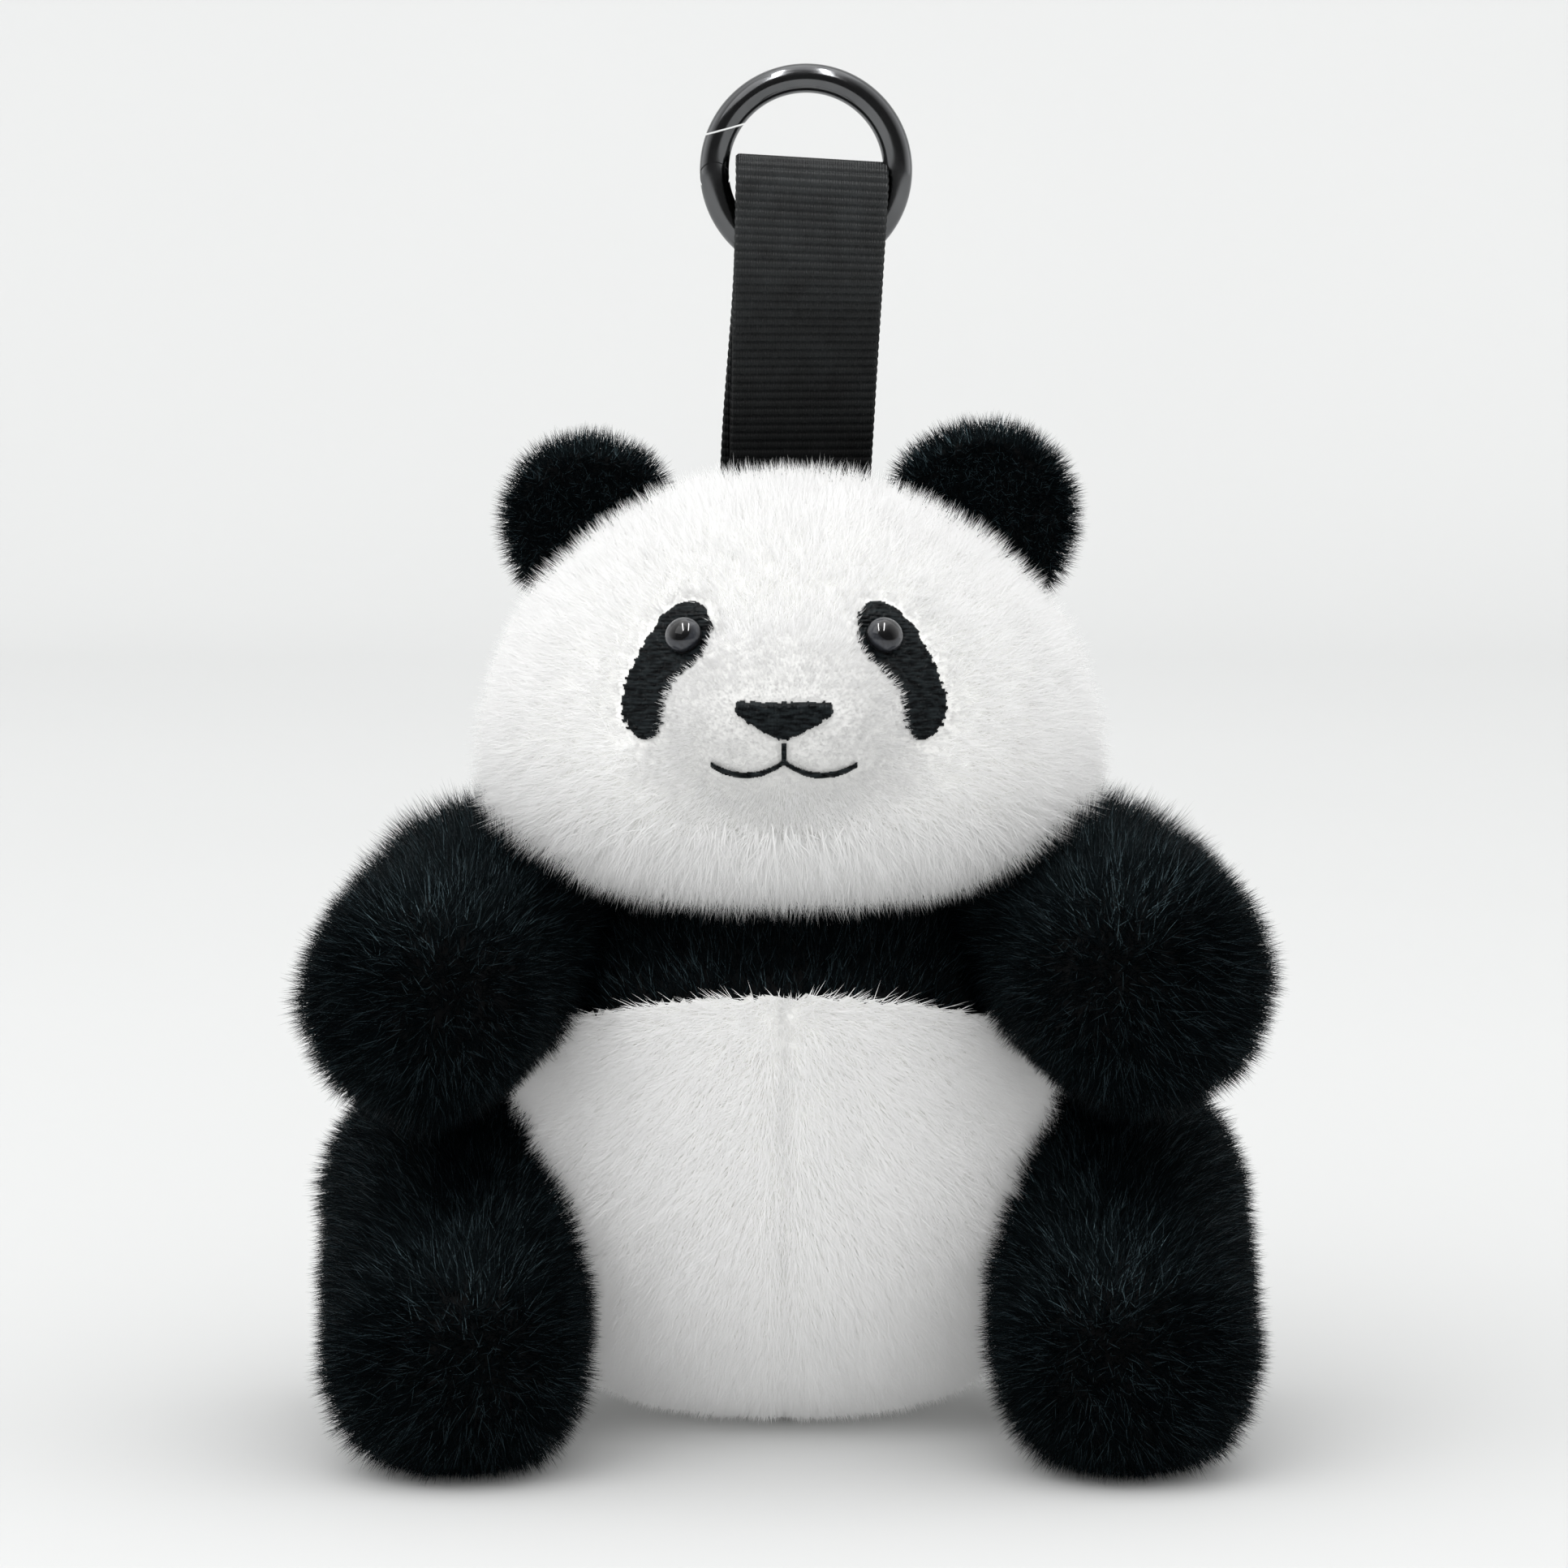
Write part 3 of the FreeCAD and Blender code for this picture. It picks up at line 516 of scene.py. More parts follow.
def scatter(points, faces, per_mm2, seed):
    """Random places on a triangle mesh, with their smooth normals."""
    source = np.random.default_rng(seed)
    a, b, c = (points[faces[:, i]] for i in range(3))
    area = np.linalg.norm(np.cross(b - a, c - a), axis=1) / 2
    count = int(area.sum() * 1e6 * per_mm2)
    chosen = np.searchsorted(np.cumsum(area) / area.sum(), source.random(count))
    chosen = np.minimum(chosen, len(faces) - 1)
    u, v = source.random(count), source.random(count)
    flip = u + v > 1
    u[flip], v[flip] = 1 - u[flip], 1 - v[flip]
    w = 1 - u - v
    normals = vertex_normals(points, faces)
    picked = faces[chosen]
    place = points[picked[:, 0]] * w[:, None] + points[picked[:, 1]] * u[:, None]
    place += points[picked[:, 2]] * v[:, None]
    normal = normals[picked[:, 0]] * w[:, None] + normals[picked[:, 1]] * u[:, None]
    normal += normals[picked[:, 2]] * v[:, None]
    return place, unit(normal), source


def fibre_ways(place, normal, lean, spread, source, seed):
    """Which way each fibre grows: outwards, with its own spread, a slow sway that it shares
    with its neighbours, and the comb's lean, but never flat along the skin."""
    way = normal + spread * source.normal(size=place.shape)
    for axis in range(3):
        way[:, axis] += 0.22 * wave_noise(place, 9 * MM, seed * 10 + axis)
    way = unit(way + lean)
    return unit(way + normal * np.maximum(0, 0.25 - (way * normal).sum(1))[:, None])


def grow(name, skin, body, mat, slot, per_mm2, length, keep=None, comb=None, width=0.2 * MM,
         tuft=2.6 * MM, gather=0.55, spread=0.28, seed=1, shade=0.6):
    """Covers a skin with fibres. length, keep and comb are functions of (places, normals).

    Each fibre is a thin three-sided spike. comb gives a sideways lean; fibres of one tuft
    gather towards their tuft's centre by the gather share. Tints are random in a black pile;
    in a white one a short pile is given darker tints, as painted shade, but less so where it
    faces down, as painted light that stands for what the floor sends back."""
    points, faces = points_of(skin), faces_of(skin)
    place, normal, source = scatter(points, faces, per_mm2, seed)
    if keep is not None:
        kept = source.random(len(place)) < keep(place, normal)
        place, normal = place[kept], normal[kept]
    full = length(place, normal)
    tint = source.random(len(place))
    # painted shade: short white pile gets darker tints; painted light: pile facing down gets
    # lighter ones
    if slot == "white_pile":
        tint = 0.85 * smooth_step(0.4 * MM, 5.0 * MM, full) + 0.15 * tint
        tint = np.minimum(1, tint + 0.35 * np.maximum(0, -normal[:, 2]))
    reach = full * source.uniform(0.72, 1.12, len(place))
    lean = comb(place, normal) if comb is not None else 0
    way = fibre_ways(place, normal, lean, spread, source, seed)
    tip = place + way * reach[:, None]
    pull = along_skin(tuft_centres(place, tuft, seed) - place, normal)
    strength = gather * source.uniform(0.4, 1.2, len(place))
    strength *= smooth_step(1.5 * MM, 4.5 * MM, reach)
    tip += pull * strength[:, None]
    tip[:, 2] = np.maximum(tip[:, 2], 0.15 * MM + 0.4 * MM * source.random(len(tip)))
    root = place - normal * 0.5 * MM
    root[:, 2] = np.maximum(root[:, 2], 0.1 * MM)
    shade = shade * smooth_step(1.2 * MM, 4.5 * MM, full)
    build_fibres(name, root, tip, normal, width, tint, source, body, mat, shade)


def build_fibres(name, root, tip, normal, width, tint, source, body, mat, shade):
    """The spikes' meshes, split over pieces of a limited size. shade is how much each one's
    shading follows its own lean instead of the skin under it."""
    way = unit(tip - root)
    side = unit(np.cross(way, source.normal(size=way.shape)))
    other = np.cross(way, side)
    thick = width * source.uniform(0.75, 1.2, len(root))[:, None] / 2
    rim = [side, -0.5 * side + 0.866 * other, -0.5 * side - 0.866 * other]
    corners = np.stack([root + r * thick for r in rim] + [tip], axis=1)
    soft = unit(normal + shade[:, None] * along_skin(way, normal))
    facing = np.stack([unit(soft + 0.35 * r) for r in rim] + [soft], axis=1)
    pieces = max(1, math.ceil(len(root) / FIBRES_PER_PIECE))
    for part in range(pieces):
        mine = slice(part, None, pieces)
        p, n, t = corners[mine], facing[mine], tint[mine]
        count = len(p)
        sides = np.array([[0, 1, 3], [1, 2, 3], [2, 0, 3]])
        faces = (np.arange(count)[:, None, None] * 4 + sides).reshape(-1, 3)
        obj = add_mesh(name if pieces == 1 else f"{name}_{part + 1}", p.reshape(-1, 3), faces)
        layer = obj.data.uv_layers.new(name=FIBRE_UV)
        uv = np.empty((count, 3, 3, 2), np.float32)
        uv[..., 0] = 0.02 + 0.96 * t[:, None, None]
        uv[:, :, :2, 1] = 0.02
        uv[:, :, 2, 1] = 0.98
        uv[:, :, 1, 0] += 0.004
        layer.data.foreach_set("uv", uv.ravel())
        obj.data.normals_split_custom_set_from_vertices(n.reshape(-1, 3))
        obj.data.materials.append(mat)
        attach(obj, body)


# ---------------------------------------------------------------- build

# the white pile's darkest tint goes to its short pile, as painted shade
WHITE_FIBRE = fibre_material("white_pile_fibre", (0.93, 0.93, 0.915), (0.96, 0.96, 0.955),
                             (0.55, 0.97, 1.0), 0.7, (0.25, 0.25), glow=0.17)
# the black pile's few brightest fibres are painted highlights, and glossier as well
BLACK_FIBRE = fibre_material("black_pile_fibre", (0.0012, 0.0021, 0.0026), (0.021, 0.035, 0.043),
                             (0.05, 0.12, 1.0), 0.34, (0.03, 0.6), sheen=(0.6, 0.9, 1.0))
WHITE_BACKING = backing_material("white_pile_backing", (0.82, 0.82, 0.80), (0.88, 0.88, 0.865))
BLACK_BACKING = backing_material("black_pile_backing", (0.0012, 0.0015, 0.0018),
                                 (0.003, 0.0036, 0.004))
THREAD = thread_material("satin_thread", (0.001, 0.0015, 0.002), (0.011, 0.0145, 0.016), 0.36)
WEBBING = webbing_material()
BLACK_PLATE = plated_material("black_nickel", (0.11, 0.112, 0.115), 0.13)


def dress(obj, mat, slot, body, *nodes):
    """Gives a piece its material, body and the CAD nodes that it stands for. slot is not used."""
    obj.data.materials.clear()
    obj.data.materials.append(mat)
    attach(obj, body)
    if nodes:
        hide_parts(*nodes)


HEAD_NODES = ("face_left_panel", "face_right_panel", "head_back_panel", "head_stuffing")
WHITE_TORSO = ("belly_left_panel", "belly_right_panel", "rump_panel", "seat_panel",
               "torso_stuffing")
YOKE = ("yoke_front_panel", "yoke_back_panel")
TAIL = ("tail_cover", "tail_stuffing")
SIDES = ("left", "right")
ARMS = ("arm_left", "arm_right")
LIMBS = ARMS + ("leg_left", "leg_right")


def limb_nodes(limb):
    return tuple(limb + end for end in ("_outer_panel", "_inner_panel", "_stuffing"))


def ear_nodes(side):
    return (f"ear_{side}_front", f"ear_{side}_back")


eye_boxes = {side: box_of(f"eye_{side}_lens") for side in SIDES}
eye_centres = {side: (b[0] + b[1]) / 2 for side, b in eye_boxes.items()}
YOKE_ARCH = 111 * MM      # radius of the arched seam under the yoke, seen from the front
yoke_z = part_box("belly_left_panel")[1].z
seat_seam_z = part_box("seat_panel")[1].z
side_seam_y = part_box("yoke_front_panel")[1].y
face_seam_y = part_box("face_left_panel")[1].y
head_low, head_high = box_of(*HEAD_NODES)
head_top = head_high[2]
nose_low = box_of("nose_embroidery")[0]
mouth_low = box_of("mouth_embroidery")[0]


def above_yoke_seam(place):
    """Which places are above the arched seam of the black yoke."""
    drop = YOKE_ARCH - np.sqrt(YOKE_ARCH ** 2 - np.minimum(np.abs(place[:, 0]), 60 * MM) ** 2)
    return place[:, 2] > yoke_z - drop


def head_shape():
    """The head's skin, its left cheek a little fuller than its right."""
    anchor = box_of("strap_anchor")
    room = np.array([1.5, 1.5, 4.0]) * MM
    points, faces = skin_of(HEAD_NODES, 8, hole=(anchor[0] - room, anchor[1] + room))
    half_width = (head_high[0] - head_low[0]) / 2
    points[:, 0] += CHEEK_SHIFT * np.clip(np.abs(points[:, 0]) / half_width, 0, 1) ** 2
    pinned = np.abs(points[:, 1] - face_seam_y) < SEAM_HALF
    chin_or_crown = (points[:, 2] < mouth_low[2] - 3 * MM) | (points[:, 2] > head_top - 5 * MM)
    pinned |= (np.abs(points[:, 0]) < SEAM_HALF) & (points[:, 1] < face_seam_y) & chin_or_crown
    tuck = TUCK - HEAD_FULL * smooth_step(0.5, 0.95, np.abs(points[:, 0]) / half_width)
    for centre in eye_centres.values():
        near = np.linalg.norm(points - centre, axis=1)
        pinned |= near < 5 * MM
        tuck *= smooth_step(4 * MM, 9 * MM, near)
    return "head_skin", points, faces, pinned, tuck


def torso_shape():
    """The torso's skin, held at its seams and on its flat seat."""
    points, faces = skin_of(WHITE_TORSO + YOKE, 8)
    seam = np.array([0, 0, SEAM_HALF])
    pinned = above_yoke_seam(points + seam) & ~above_yoke_seam(points - seam)
    pinned |= np.abs(points[:, 2] - seat_seam_z) < SEAM_HALF
    pinned |= np.abs(points[:, 1] - side_seam_y) < SEAM_HALF
    pinned |= (np.abs(points[:, 0]) < SEAM_HALF) & (points[:, 1] < side_seam_y)
    flat = points[:, 2] < 1.0 * MM
    tuck = np.where(flat, 0.0, TUCK)
    return "torso_skin", points, faces, pinned | flat, tuck


def seam_side(nodes):
    """The unit vector square to the seam between a limb's outer and inner panels."""
    outer, inner = (np.mean(box_of(n), axis=0) for n in nodes[:2])
    way = outer - inner
    way[2] = 0
    return way / np.linalg.norm(way)


def limb_shape(limb):
    """A limb's skin, held at its long seam; an arm is fuller on its outer side."""
    nodes = limb_nodes(limb)
    points, faces = skin_of(nodes, 3)
    low, high = box_of(nodes[2])
    way = seam_side(nodes)
    pinned = np.abs((points - (low + high) / 2) @ way) < SEAM_HALF
    tuck = np.zeros(len(points))
    if limb in ARMS:
        outward = points[:, 0] * np.sign(points[:, 0]) - np.abs(low[0] + high[0]) / 2
        tuck -= ARM_FULL * smooth_step(-8 * MM, 8 * MM, outward)
    return limb + "_skin", points, faces, pinned, tuck


def ear_shape(side):
    """An ear's skin, held at the seam round its edge."""
    nodes = ear_nodes(side)
    points, faces = skin_of(nodes, 2, level=5)
    low, high = box_of(*nodes)
    pinned = np.abs(points[:, 1] - (low[1] + high[1]) / 2) < 0.8 * MM
    return f"ear_{side}_skin", points, faces, pinned, np.full(len(points), -EAR_FULL)


def tail_shape():
    """The tail's skin, free all round."""
    points, faces = skin_of(TAIL, 2, level=5)
    return "tail_skin", points, faces, np.zeros(len(points), bool), np.full(len(points), TUCK)


def split_skin(obj, is_upper, upper_name, lower_name):
    """Splits a mesh's faces into two objects by a test of places."""
    points, faces = points_of(obj), faces_of(obj)
    bpy.data.objects.remove(obj)
    above = is_upper(points[faces].mean(1))
    made = []
    for name, mine in ((upper_name, faces[above]), (lower_name, faces[~above])):
        used = np.unique(mine)
        renumber = np.full(len(points), -1)
        renumber[used] = np.arange(len(used))
        made.append(add_mesh(name, points[used], renumber[mine]))
    return made


shapes = [head_shape(), torso_shape(), tail_shape()]
shapes += [limb_shape(limb) for limb in LIMBS]
shapes += [ear_shape(side) for side in SIDES]
head, torso, tail, *others = puff(shapes)
limbs = dict(zip(LIMBS, others))
ears = dict(zip(SIDES, others[len(LIMBS):]))
head_tree = mesh_tree(points_of(head), faces_of(head))


# ---------------------------------------------------------------- embroidery

STITCH_GRID = 0.16 * MM  # the fineness of the stitching's relief


def shrunk(mask):
    """A mask of grid cells without its outermost ring."""
    return (mask & np.roll(mask, 1, 0) & np.roll(mask, -1, 0)
            & np.roll(mask, 1, 1) & np.roll(mask, -1, 1))


def traced(cad_node, xs, zs):
    """Which cells of an (x, z) grid a CAD outline covers, and the head skin's y at each."""
    low, high = box_of(cad_node)
    outline = node_tree_of(cad_node)
    ahead = Vector((0, 1, 0))
    inside = np.zeros((len(xs), len(zs)), bool)
    base = np.full(inside.shape, high[1])
    for i, x in enumerate(xs):
        for k, z in enumerate(zs):
            start = Vector((x, low[1] - 20 * MM, z))
            inside[i, k] = outline.ray_cast(start, ahead)[0] is not None
            hit = head_tree.ray_cast(start, ahead)[0]
            if hit is not None:
                base[i, k] = hit.y
    return inside, base


def staggered(inside, shift, ragged, upright):
    """The covered cells with each thread's ends moved along it by up to ragged."""
    cells = np.round((2 * shift - 1) * ragged / STITCH_GRID).astype(int)
    i, k = np.indices(inside.shape)
    if upright:
        k = np.clip(k + cells, 0, inside.shape[1] - 1)
    else:
        i = np.clip(i + cells, 0, inside.shape[0] - 1)
    return inside[i, k]


def stitched(name, cad_node, pitch, run, lift, ragged=0.0, upright=False, slope=0.0):
    """Satin stitching over a CAD outline, laid on the head's skin.

    Threads of one pitch lie side by side; each is a row of stitches of length run."""
    low, high = box_of(cad_node)
    pad = 4 * STITCH_GRID
    xs = np.arange(low[0] - pad, high[0] + pad, STITCH_GRID)
    zs = np.arange(low[2] - pad, high[2] + pad, STITCH_GRID)
    inside, base = traced(cad_node, xs, zs)
    x, z = np.meshgrid(xs, zs, indexing="ij")
    across, along = (x, z) if upright else (z + slope * x, x)
    flat = np.stack([x.ravel(), np.zeros(x.size), z.ravel()], axis=1)
    across = across + wave_noise(flat, 4 * MM, 5).reshape(x.shape) * pitch * 0.25
    row = np.floor(across / pitch)
    shift = (np.sin(row * 12.9898) * 43758.5453) % 1.0
    inside = staggered(inside, shift, ragged, upright)
    depth, core = inside.astype(float), inside
    for _ in range(3):
        core = shrunk(core)
        depth += core
    phase = across / pitch - row
    round_top = np.sqrt(np.clip(1 - (2 * phase - 1) ** 2, 0, 1))
    step = (along / run + shift) % 1.0
    stitch = smooth_step(0, 0.12, np.minimum(step, 1 - step))
    height = lift * (0.35 + 0.65 * depth / 4) + pitch * 0.6 * round_top * (0.2 + 0.8 * stitch)
    height += pitch * 0.3 * (shift - 0.5)
    front = np.stack([x, base - height, z], axis=2)
    back = np.stack([x, base + 0.5 * MM, z], axis=2)
    obj = closed_sheet(name, front, back, inside)
    dress(obj, THREAD, "black_thread", "head", cad_node)


def closed_sheet(name, front, back, inside):
    """A solid between two grids of points, over the cells whose corners are all inside."""
    rows, columns = inside.shape
    cell = inside[:-1, :-1] & inside[1:, :-1] & inside[1:, 1:] & inside[:-1, 1:]
    number = np.arange(rows * columns).reshape(rows, columns)
    far = rows * columns
    i, k = np.nonzero(cell)
    a, b, c, d = number[i, k], number[i + 1, k], number[i + 1, k + 1], number[i, k + 1]
    quads = [np.stack([a, b, c, d], 1), np.stack([d, c, b, a], 1) + far]
    padded = np.pad(cell, 1)
    walls = (((0, -1), a, b), ((1, 0), b, c), ((0, 1), c, d), ((-1, 0), d, a))
    for (di, dk), first, second in walls:
        open_side = ~padded[i + 1 + di, k + 1 + dk]
        first, second = first[open_side], second[open_side]
        quads.append(np.stack([second, first, first + far, second + far], 1))
    faces = np.concatenate(quads)
    points = np.concatenate([front.reshape(-1, 3), back.reshape(-1, 3)])
    used = np.unique(faces)
    renumber = np.full(len(points), -1)
    renumber[used] = np.arange(len(used))
    return add_mesh(name, points[used], renumber[faces])


for side in SIDES:
    stitched(f"eye_{side}_satin_patch", f"eye_{side}_patch", 0.55 * MM, 2.6 * MM, 0.45 * MM,
             ragged=0.4 * MM, slope=0.08 if side == "left" else -0.08)
stitched("nose_satin", "nose_embroidery", 0.5 * MM, 9.0 * MM, 1.1 * MM, ragged=0.16 * MM,
         upright=True)
stitched("mouth_stem_stitch", "mouth_embroidery", 1.5 * MM, 40 * MM, 0.5 * MM, slope=0.5)


# ---------------------------------------------------------------- face map for the pile

FACE_STEP = 0.25 * MM    # the fineness of the map


def face_map():
    """For the front of the face, how far each (x, z) lies from stitching or an eye, to 4 mm."""
    names = [f"eye_{side}_patch" for side in SIDES] + ["nose_embroidery", "mouth_embroidery"]
    low, high = box_of(*names)
    pad = 5 * MM
    xs = np.arange(low[0] - pad, high[0] + pad, FACE_STEP)
    zs = np.arange(low[2] - pad, high[2] + pad, FACE_STEP)
    tree = node_tree_of(*names)
    taken = np.zeros((len(xs), len(zs)), bool)
    for i, x in enumerate(xs):
        for k, z in enumerate(zs):
            start = Vector((x, low[1] - 0.02, z))
            taken[i, k] = tree.ray_cast(start, Vector((0, 1, 0)))[0] is not None
    x, z = np.meshgrid(xs, zs, indexing="ij")
    for centre in eye_centres.values():
        taken |= np.hypot(x - centre[0], z - centre[2]) < 3.3 * MM
    distance = np.where(taken, 0.0, np.inf)
    for _ in range(16):
        for axis in (0, 1):
            for way in (-1, 1):
                distance = np.minimum(distance, np.roll(distance, way, axis) + FACE_STEP)
    return xs[0], zs[0], np.minimum(distance, 4 * MM)


FACE_X, FACE_Z, FACE_DISTANCE = face_map()


def clear_of_face(place):
    """Distance of places on the head from the face's features, 4 mm where far or behind."""
    i = np.round((place[:, 0] - FACE_X) / FACE_STEP).astype(int)
    k = np.round((place[:, 2] - FACE_Z) / FACE_STEP).astype(int)
    rows, columns = FACE_DISTANCE.shape
    on_map = (i >= 0) & (k >= 0) & (i < rows) & (k < columns) & (place[:, 1] < 0)
    found = np.full(len(place), 4 * MM)
    found[on_map] = FACE_DISTANCE[i[on_map], k[on_map]]
    return found


# ---------------------------------------------------------------- pile of each body

muzzle = np.array([0, nose_low[1], (nose_low[2] + mouth_low[2]) / 2])


def lower_rim(place):
    """1 on the cheeks' and chin's lower edge, where the pile hangs over the body, else 0."""
    return 1 - smooth_step(97 * MM, 112 * MM, place[:, 2])


def head_length(place, normal):
    """Short on the muzzle and between the eyes, long on cheeks and crown."""
    from_muzzle = np.linalg.norm(place - muzzle, axis=1)
    base = 1.3 * MM + 3.9 * MM * smooth_step(12 * MM, 40 * MM, from_muzzle)
    base += 1.5 * MM * lower_rim(place)
    base *= 0.5 + 0.5 * clear_of_face(place) / (4 * MM)
    return base * (1 + 0.2 * wave_noise(place, 9 * MM, 3))


def head_keep(place, normal):
    """No pile on the face's stitching or in the strap; half as dense away from the muzzle."""
    covered = clear_of_face(place) > 0.12 * MM
    from_muzzle = np.linalg.norm(place - muzzle, axis=1)
    thinned = 0.55 + 0.45 * (1 - smooth_step(14 * MM, 30 * MM, from_muzzle))
    low, high = box_of("strap_anchor")
    edge = 0.3 * MM
    in_strap = (place[:, :2] > low[:2] + edge) & (place[:, :2] < high[:2] - edge)
    return covered * ~(in_strap.all(1) & (normal[:, 2] > 0.5)) * thinned


def head_comb(place, normal):
    """Away from the muzzle, and down the cheeks and the back."""
    out = along_skin(place - muzzle, normal)
    down = along_skin(np.array([0, 0, -1.0]), normal)
    far = smooth_step(10 * MM, 45 * MM, np.linalg.norm(place - muzzle, axis=1))[:, None]
    crown = smooth_step(head_top - 22 * MM, head_top, place[:, 2])[:, None]
    upright = (clear_of_face(place) / (4 * MM))[:, None]
    rim = lower_rim(place)[:, None]
    lean = unit(out) * (0.9 - 0.6 * far) * (1 - 0.6 * crown) * (1 - 0.5 * rim)
    lean += down * 0.25 * far * (1 - crown) * (1 - rim)
    return lean * (0.5 + 0.5 * upright)


grow("head_pile", head, "head", WHITE_FIBRE, "white_pile", 10.0, head_length, head_keep,
     head_comb, width=0.19 * MM, tuft=2.3 * MM, gather=0.72, spread=0.32, seed=2)

grow("head_fringe", head, "head", WHITE_FIBRE, "white_pile", 3.5,
     lambda p, n: 7.0 * MM * (1 + 0.25 * wave_noise(p, 7 * MM, 8)),
     lambda p, n: smooth_step(0.6, 1, lower_rim(p)) * (n[:, 2] > -0.8), None,
     width=0.32 * MM, tuft=2.6 * MM, gather=0.95, spread=0.2, seed=12)


def buried(place, skin, depth):
    """Which places lie inside a skin by more than a depth."""
    points = points_of(skin)
    tree = mesh_tree(points, faces_of(skin))
    low, high = points.min(0), points.max(0)
    inside = np.zeros(len(place), bool)
    for i in np.flatnonzero(((place > low) & (place < high)).all(1)):
        hit, way, _, gap = tree.find_nearest(Vector(place[i]))
        inside[i] = gap > depth and (Vector(place[i]) - hit).dot(way) < 0
    return inside


def torso_clear(place, normal):
    """No pile where the torso sits in its limbs or on its seat."""
    inside = place[:, 2] < 0.6 * MM
    for limb in LIMBS:
        inside |= buried(place, limbs[limb], 1.0 * MM)
    return ~inside


def torso_length(place, normal):
    """Shorter near the seat and along the middle seam."""
    low = smooth_step(0, 8 * MM, place[:, 2])
    seam = 0.72 + 0.28 * smooth_step(0.3 * MM, 2.5 * MM, np.abs(place[:, 0]))
    return (2.3 * MM + 2.6 * MM * low) * seam * (1 + 0.15 * wave_noise(place, 12 * MM, 4))


def belly_comb(place, normal):
    """Outwards from the belly's centre seam, and down."""
    out = np.zeros_like(place)
    out[:, 0] = 0.45 * np.sign(place[:, 0]) * smooth_step(0, 6 * MM, np.abs(place[:, 0]))
    out[:, 2] = -1.0 + 0.6 * smooth_step(yoke_z - 9 * MM, yoke_z, place[:, 2])
    return 0.9 * along_skin(out, normal)


def yoke_comb(place, normal):
    """Up and away from the yoke's arched seam."""
    return 0.4 * along_skin(np.array([0, 0, 1.0]), normal)


grow("torso_white_pile", torso, "torso", WHITE_FIBRE, "white_pile", 9.5, torso_length,
     lambda p, n: torso_clear(p, n) & ~above_yoke_seam(p), belly_comb, gather=0.4, seed=3)
grow("torso_black_pile", torso, "torso", BLACK_FIBRE, "black_pile", 5.0, torso_length,
     lambda p, n: torso_clear(p, n) & above_yoke_seam(p), yoke_comb, seed=4)


def limb_pile(limb, seed):
    """Pile that stands out all round a limb, but not deep in the limb's socket."""
    torso_middle = np.array([0, side_seam_y, 0])

    def length(place, normal):
        """Shorter near the floor and, on an arm, on its inner side; longer on its shoulder."""
        low = smooth_step(0, 7 * MM, place[:, 2])
        full = (2.2 * MM + 3.6 * MM * low) * (1 + 0.2 * wave_noise(place, 10 * MM, seed + 50))
        if limb in ARMS:
            inner = smooth_step(0, 0.9, -normal[:, 0] * np.sign(place[:, 0]))
            behind = smooth_step(-30 * MM, -10 * MM, place[:, 1])
            full *= 1.06 - 0.4 * inner * (1 - behind)
            full *= 1 + 0.5 * smooth_step(0.2, 0.9, normal[:, 2]) * behind
        return full

    def keep(place, normal):
        return ~buried(place, torso, 2.5 * MM) & (place[:, 2] > 0.5 * MM)

    def comb(place, normal):
        out = place - torso_middle
        out[:, 2] = -20 * MM
        return unit(along_skin(out, normal)) * 0.3

    grow(limb + "_pile", limbs[limb], limb, BLACK_FIBRE, "black_pile", 7.0, length, keep, comb,
         seed=seed, tuft=3.0 * MM, gather=0.6)


for number, limb in enumerate(LIMBS):
    limb_pile(limb, 60 + number)
for number, side in enumerate(SIDES):
    grow(f"ear_{side}_pile", ears[side], f"ear_{side}", BLACK_FIBRE, "black_pile", 17.0,
         lambda p, n: 3.2 * MM + 1.2 * MM * (1 - np.abs(n[:, 1])), None, None, width=0.18 * MM,
         tuft=2.2 * MM, gather=0.4, spread=0.36, seed=80 + number)
grow("tail_pile", tail, "torso", WHITE_FIBRE, "white_pile", 5.0,
     lambda p, n: np.full(len(p), 4.5 * MM), None, None, seed=90)

yoke_skin, white_skin = split_skin(torso, above_yoke_seam, "yoke_skin", "torso_skin")
# the head's backing is painted darker round the muzzle, as painted shade
head_backing = backing_material("head_pile_backing", (0.82, 0.82, 0.80), (0.88, 0.88, 0.865),
                                cropped=muzzle)
dress(head, head_backing, "white_pile", "head", *HEAD_NODES)
dress(white_skin, WHITE_BACKING, "white_pile", "torso", *WHITE_TORSO)
dress(yoke_skin, BLACK_BACKING, "black_pile", "torso", *YOKE)
dress(tail, WHITE_BACKING, "white_pile", "torso", *TAIL)
for limb in LIMBS:
    dress(limbs[limb], BLACK_BACKING, "black_pile", limb, *limb_nodes(limb))
for side in SIDES:
    dress(ears[side], BLACK_BACKING, "black_pile", f"ear_{side}", *ear_nodes(side))


# ---------------------------------------------------------------- eyes

def eye_axis(side):
    """Where an eye's washer is, and the outward line square to it."""
    points = np.array([v.co[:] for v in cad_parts[f"eye_{side}_washer"].data.vertices])
    centre = (points.max(0) + points.min(0)) / 2
    way = np.linalg.svd(points - points.mean(0), full_matrices=False)[2][2]
    return centre, way * np.sign((eye_centres[side] - centre) @ way)


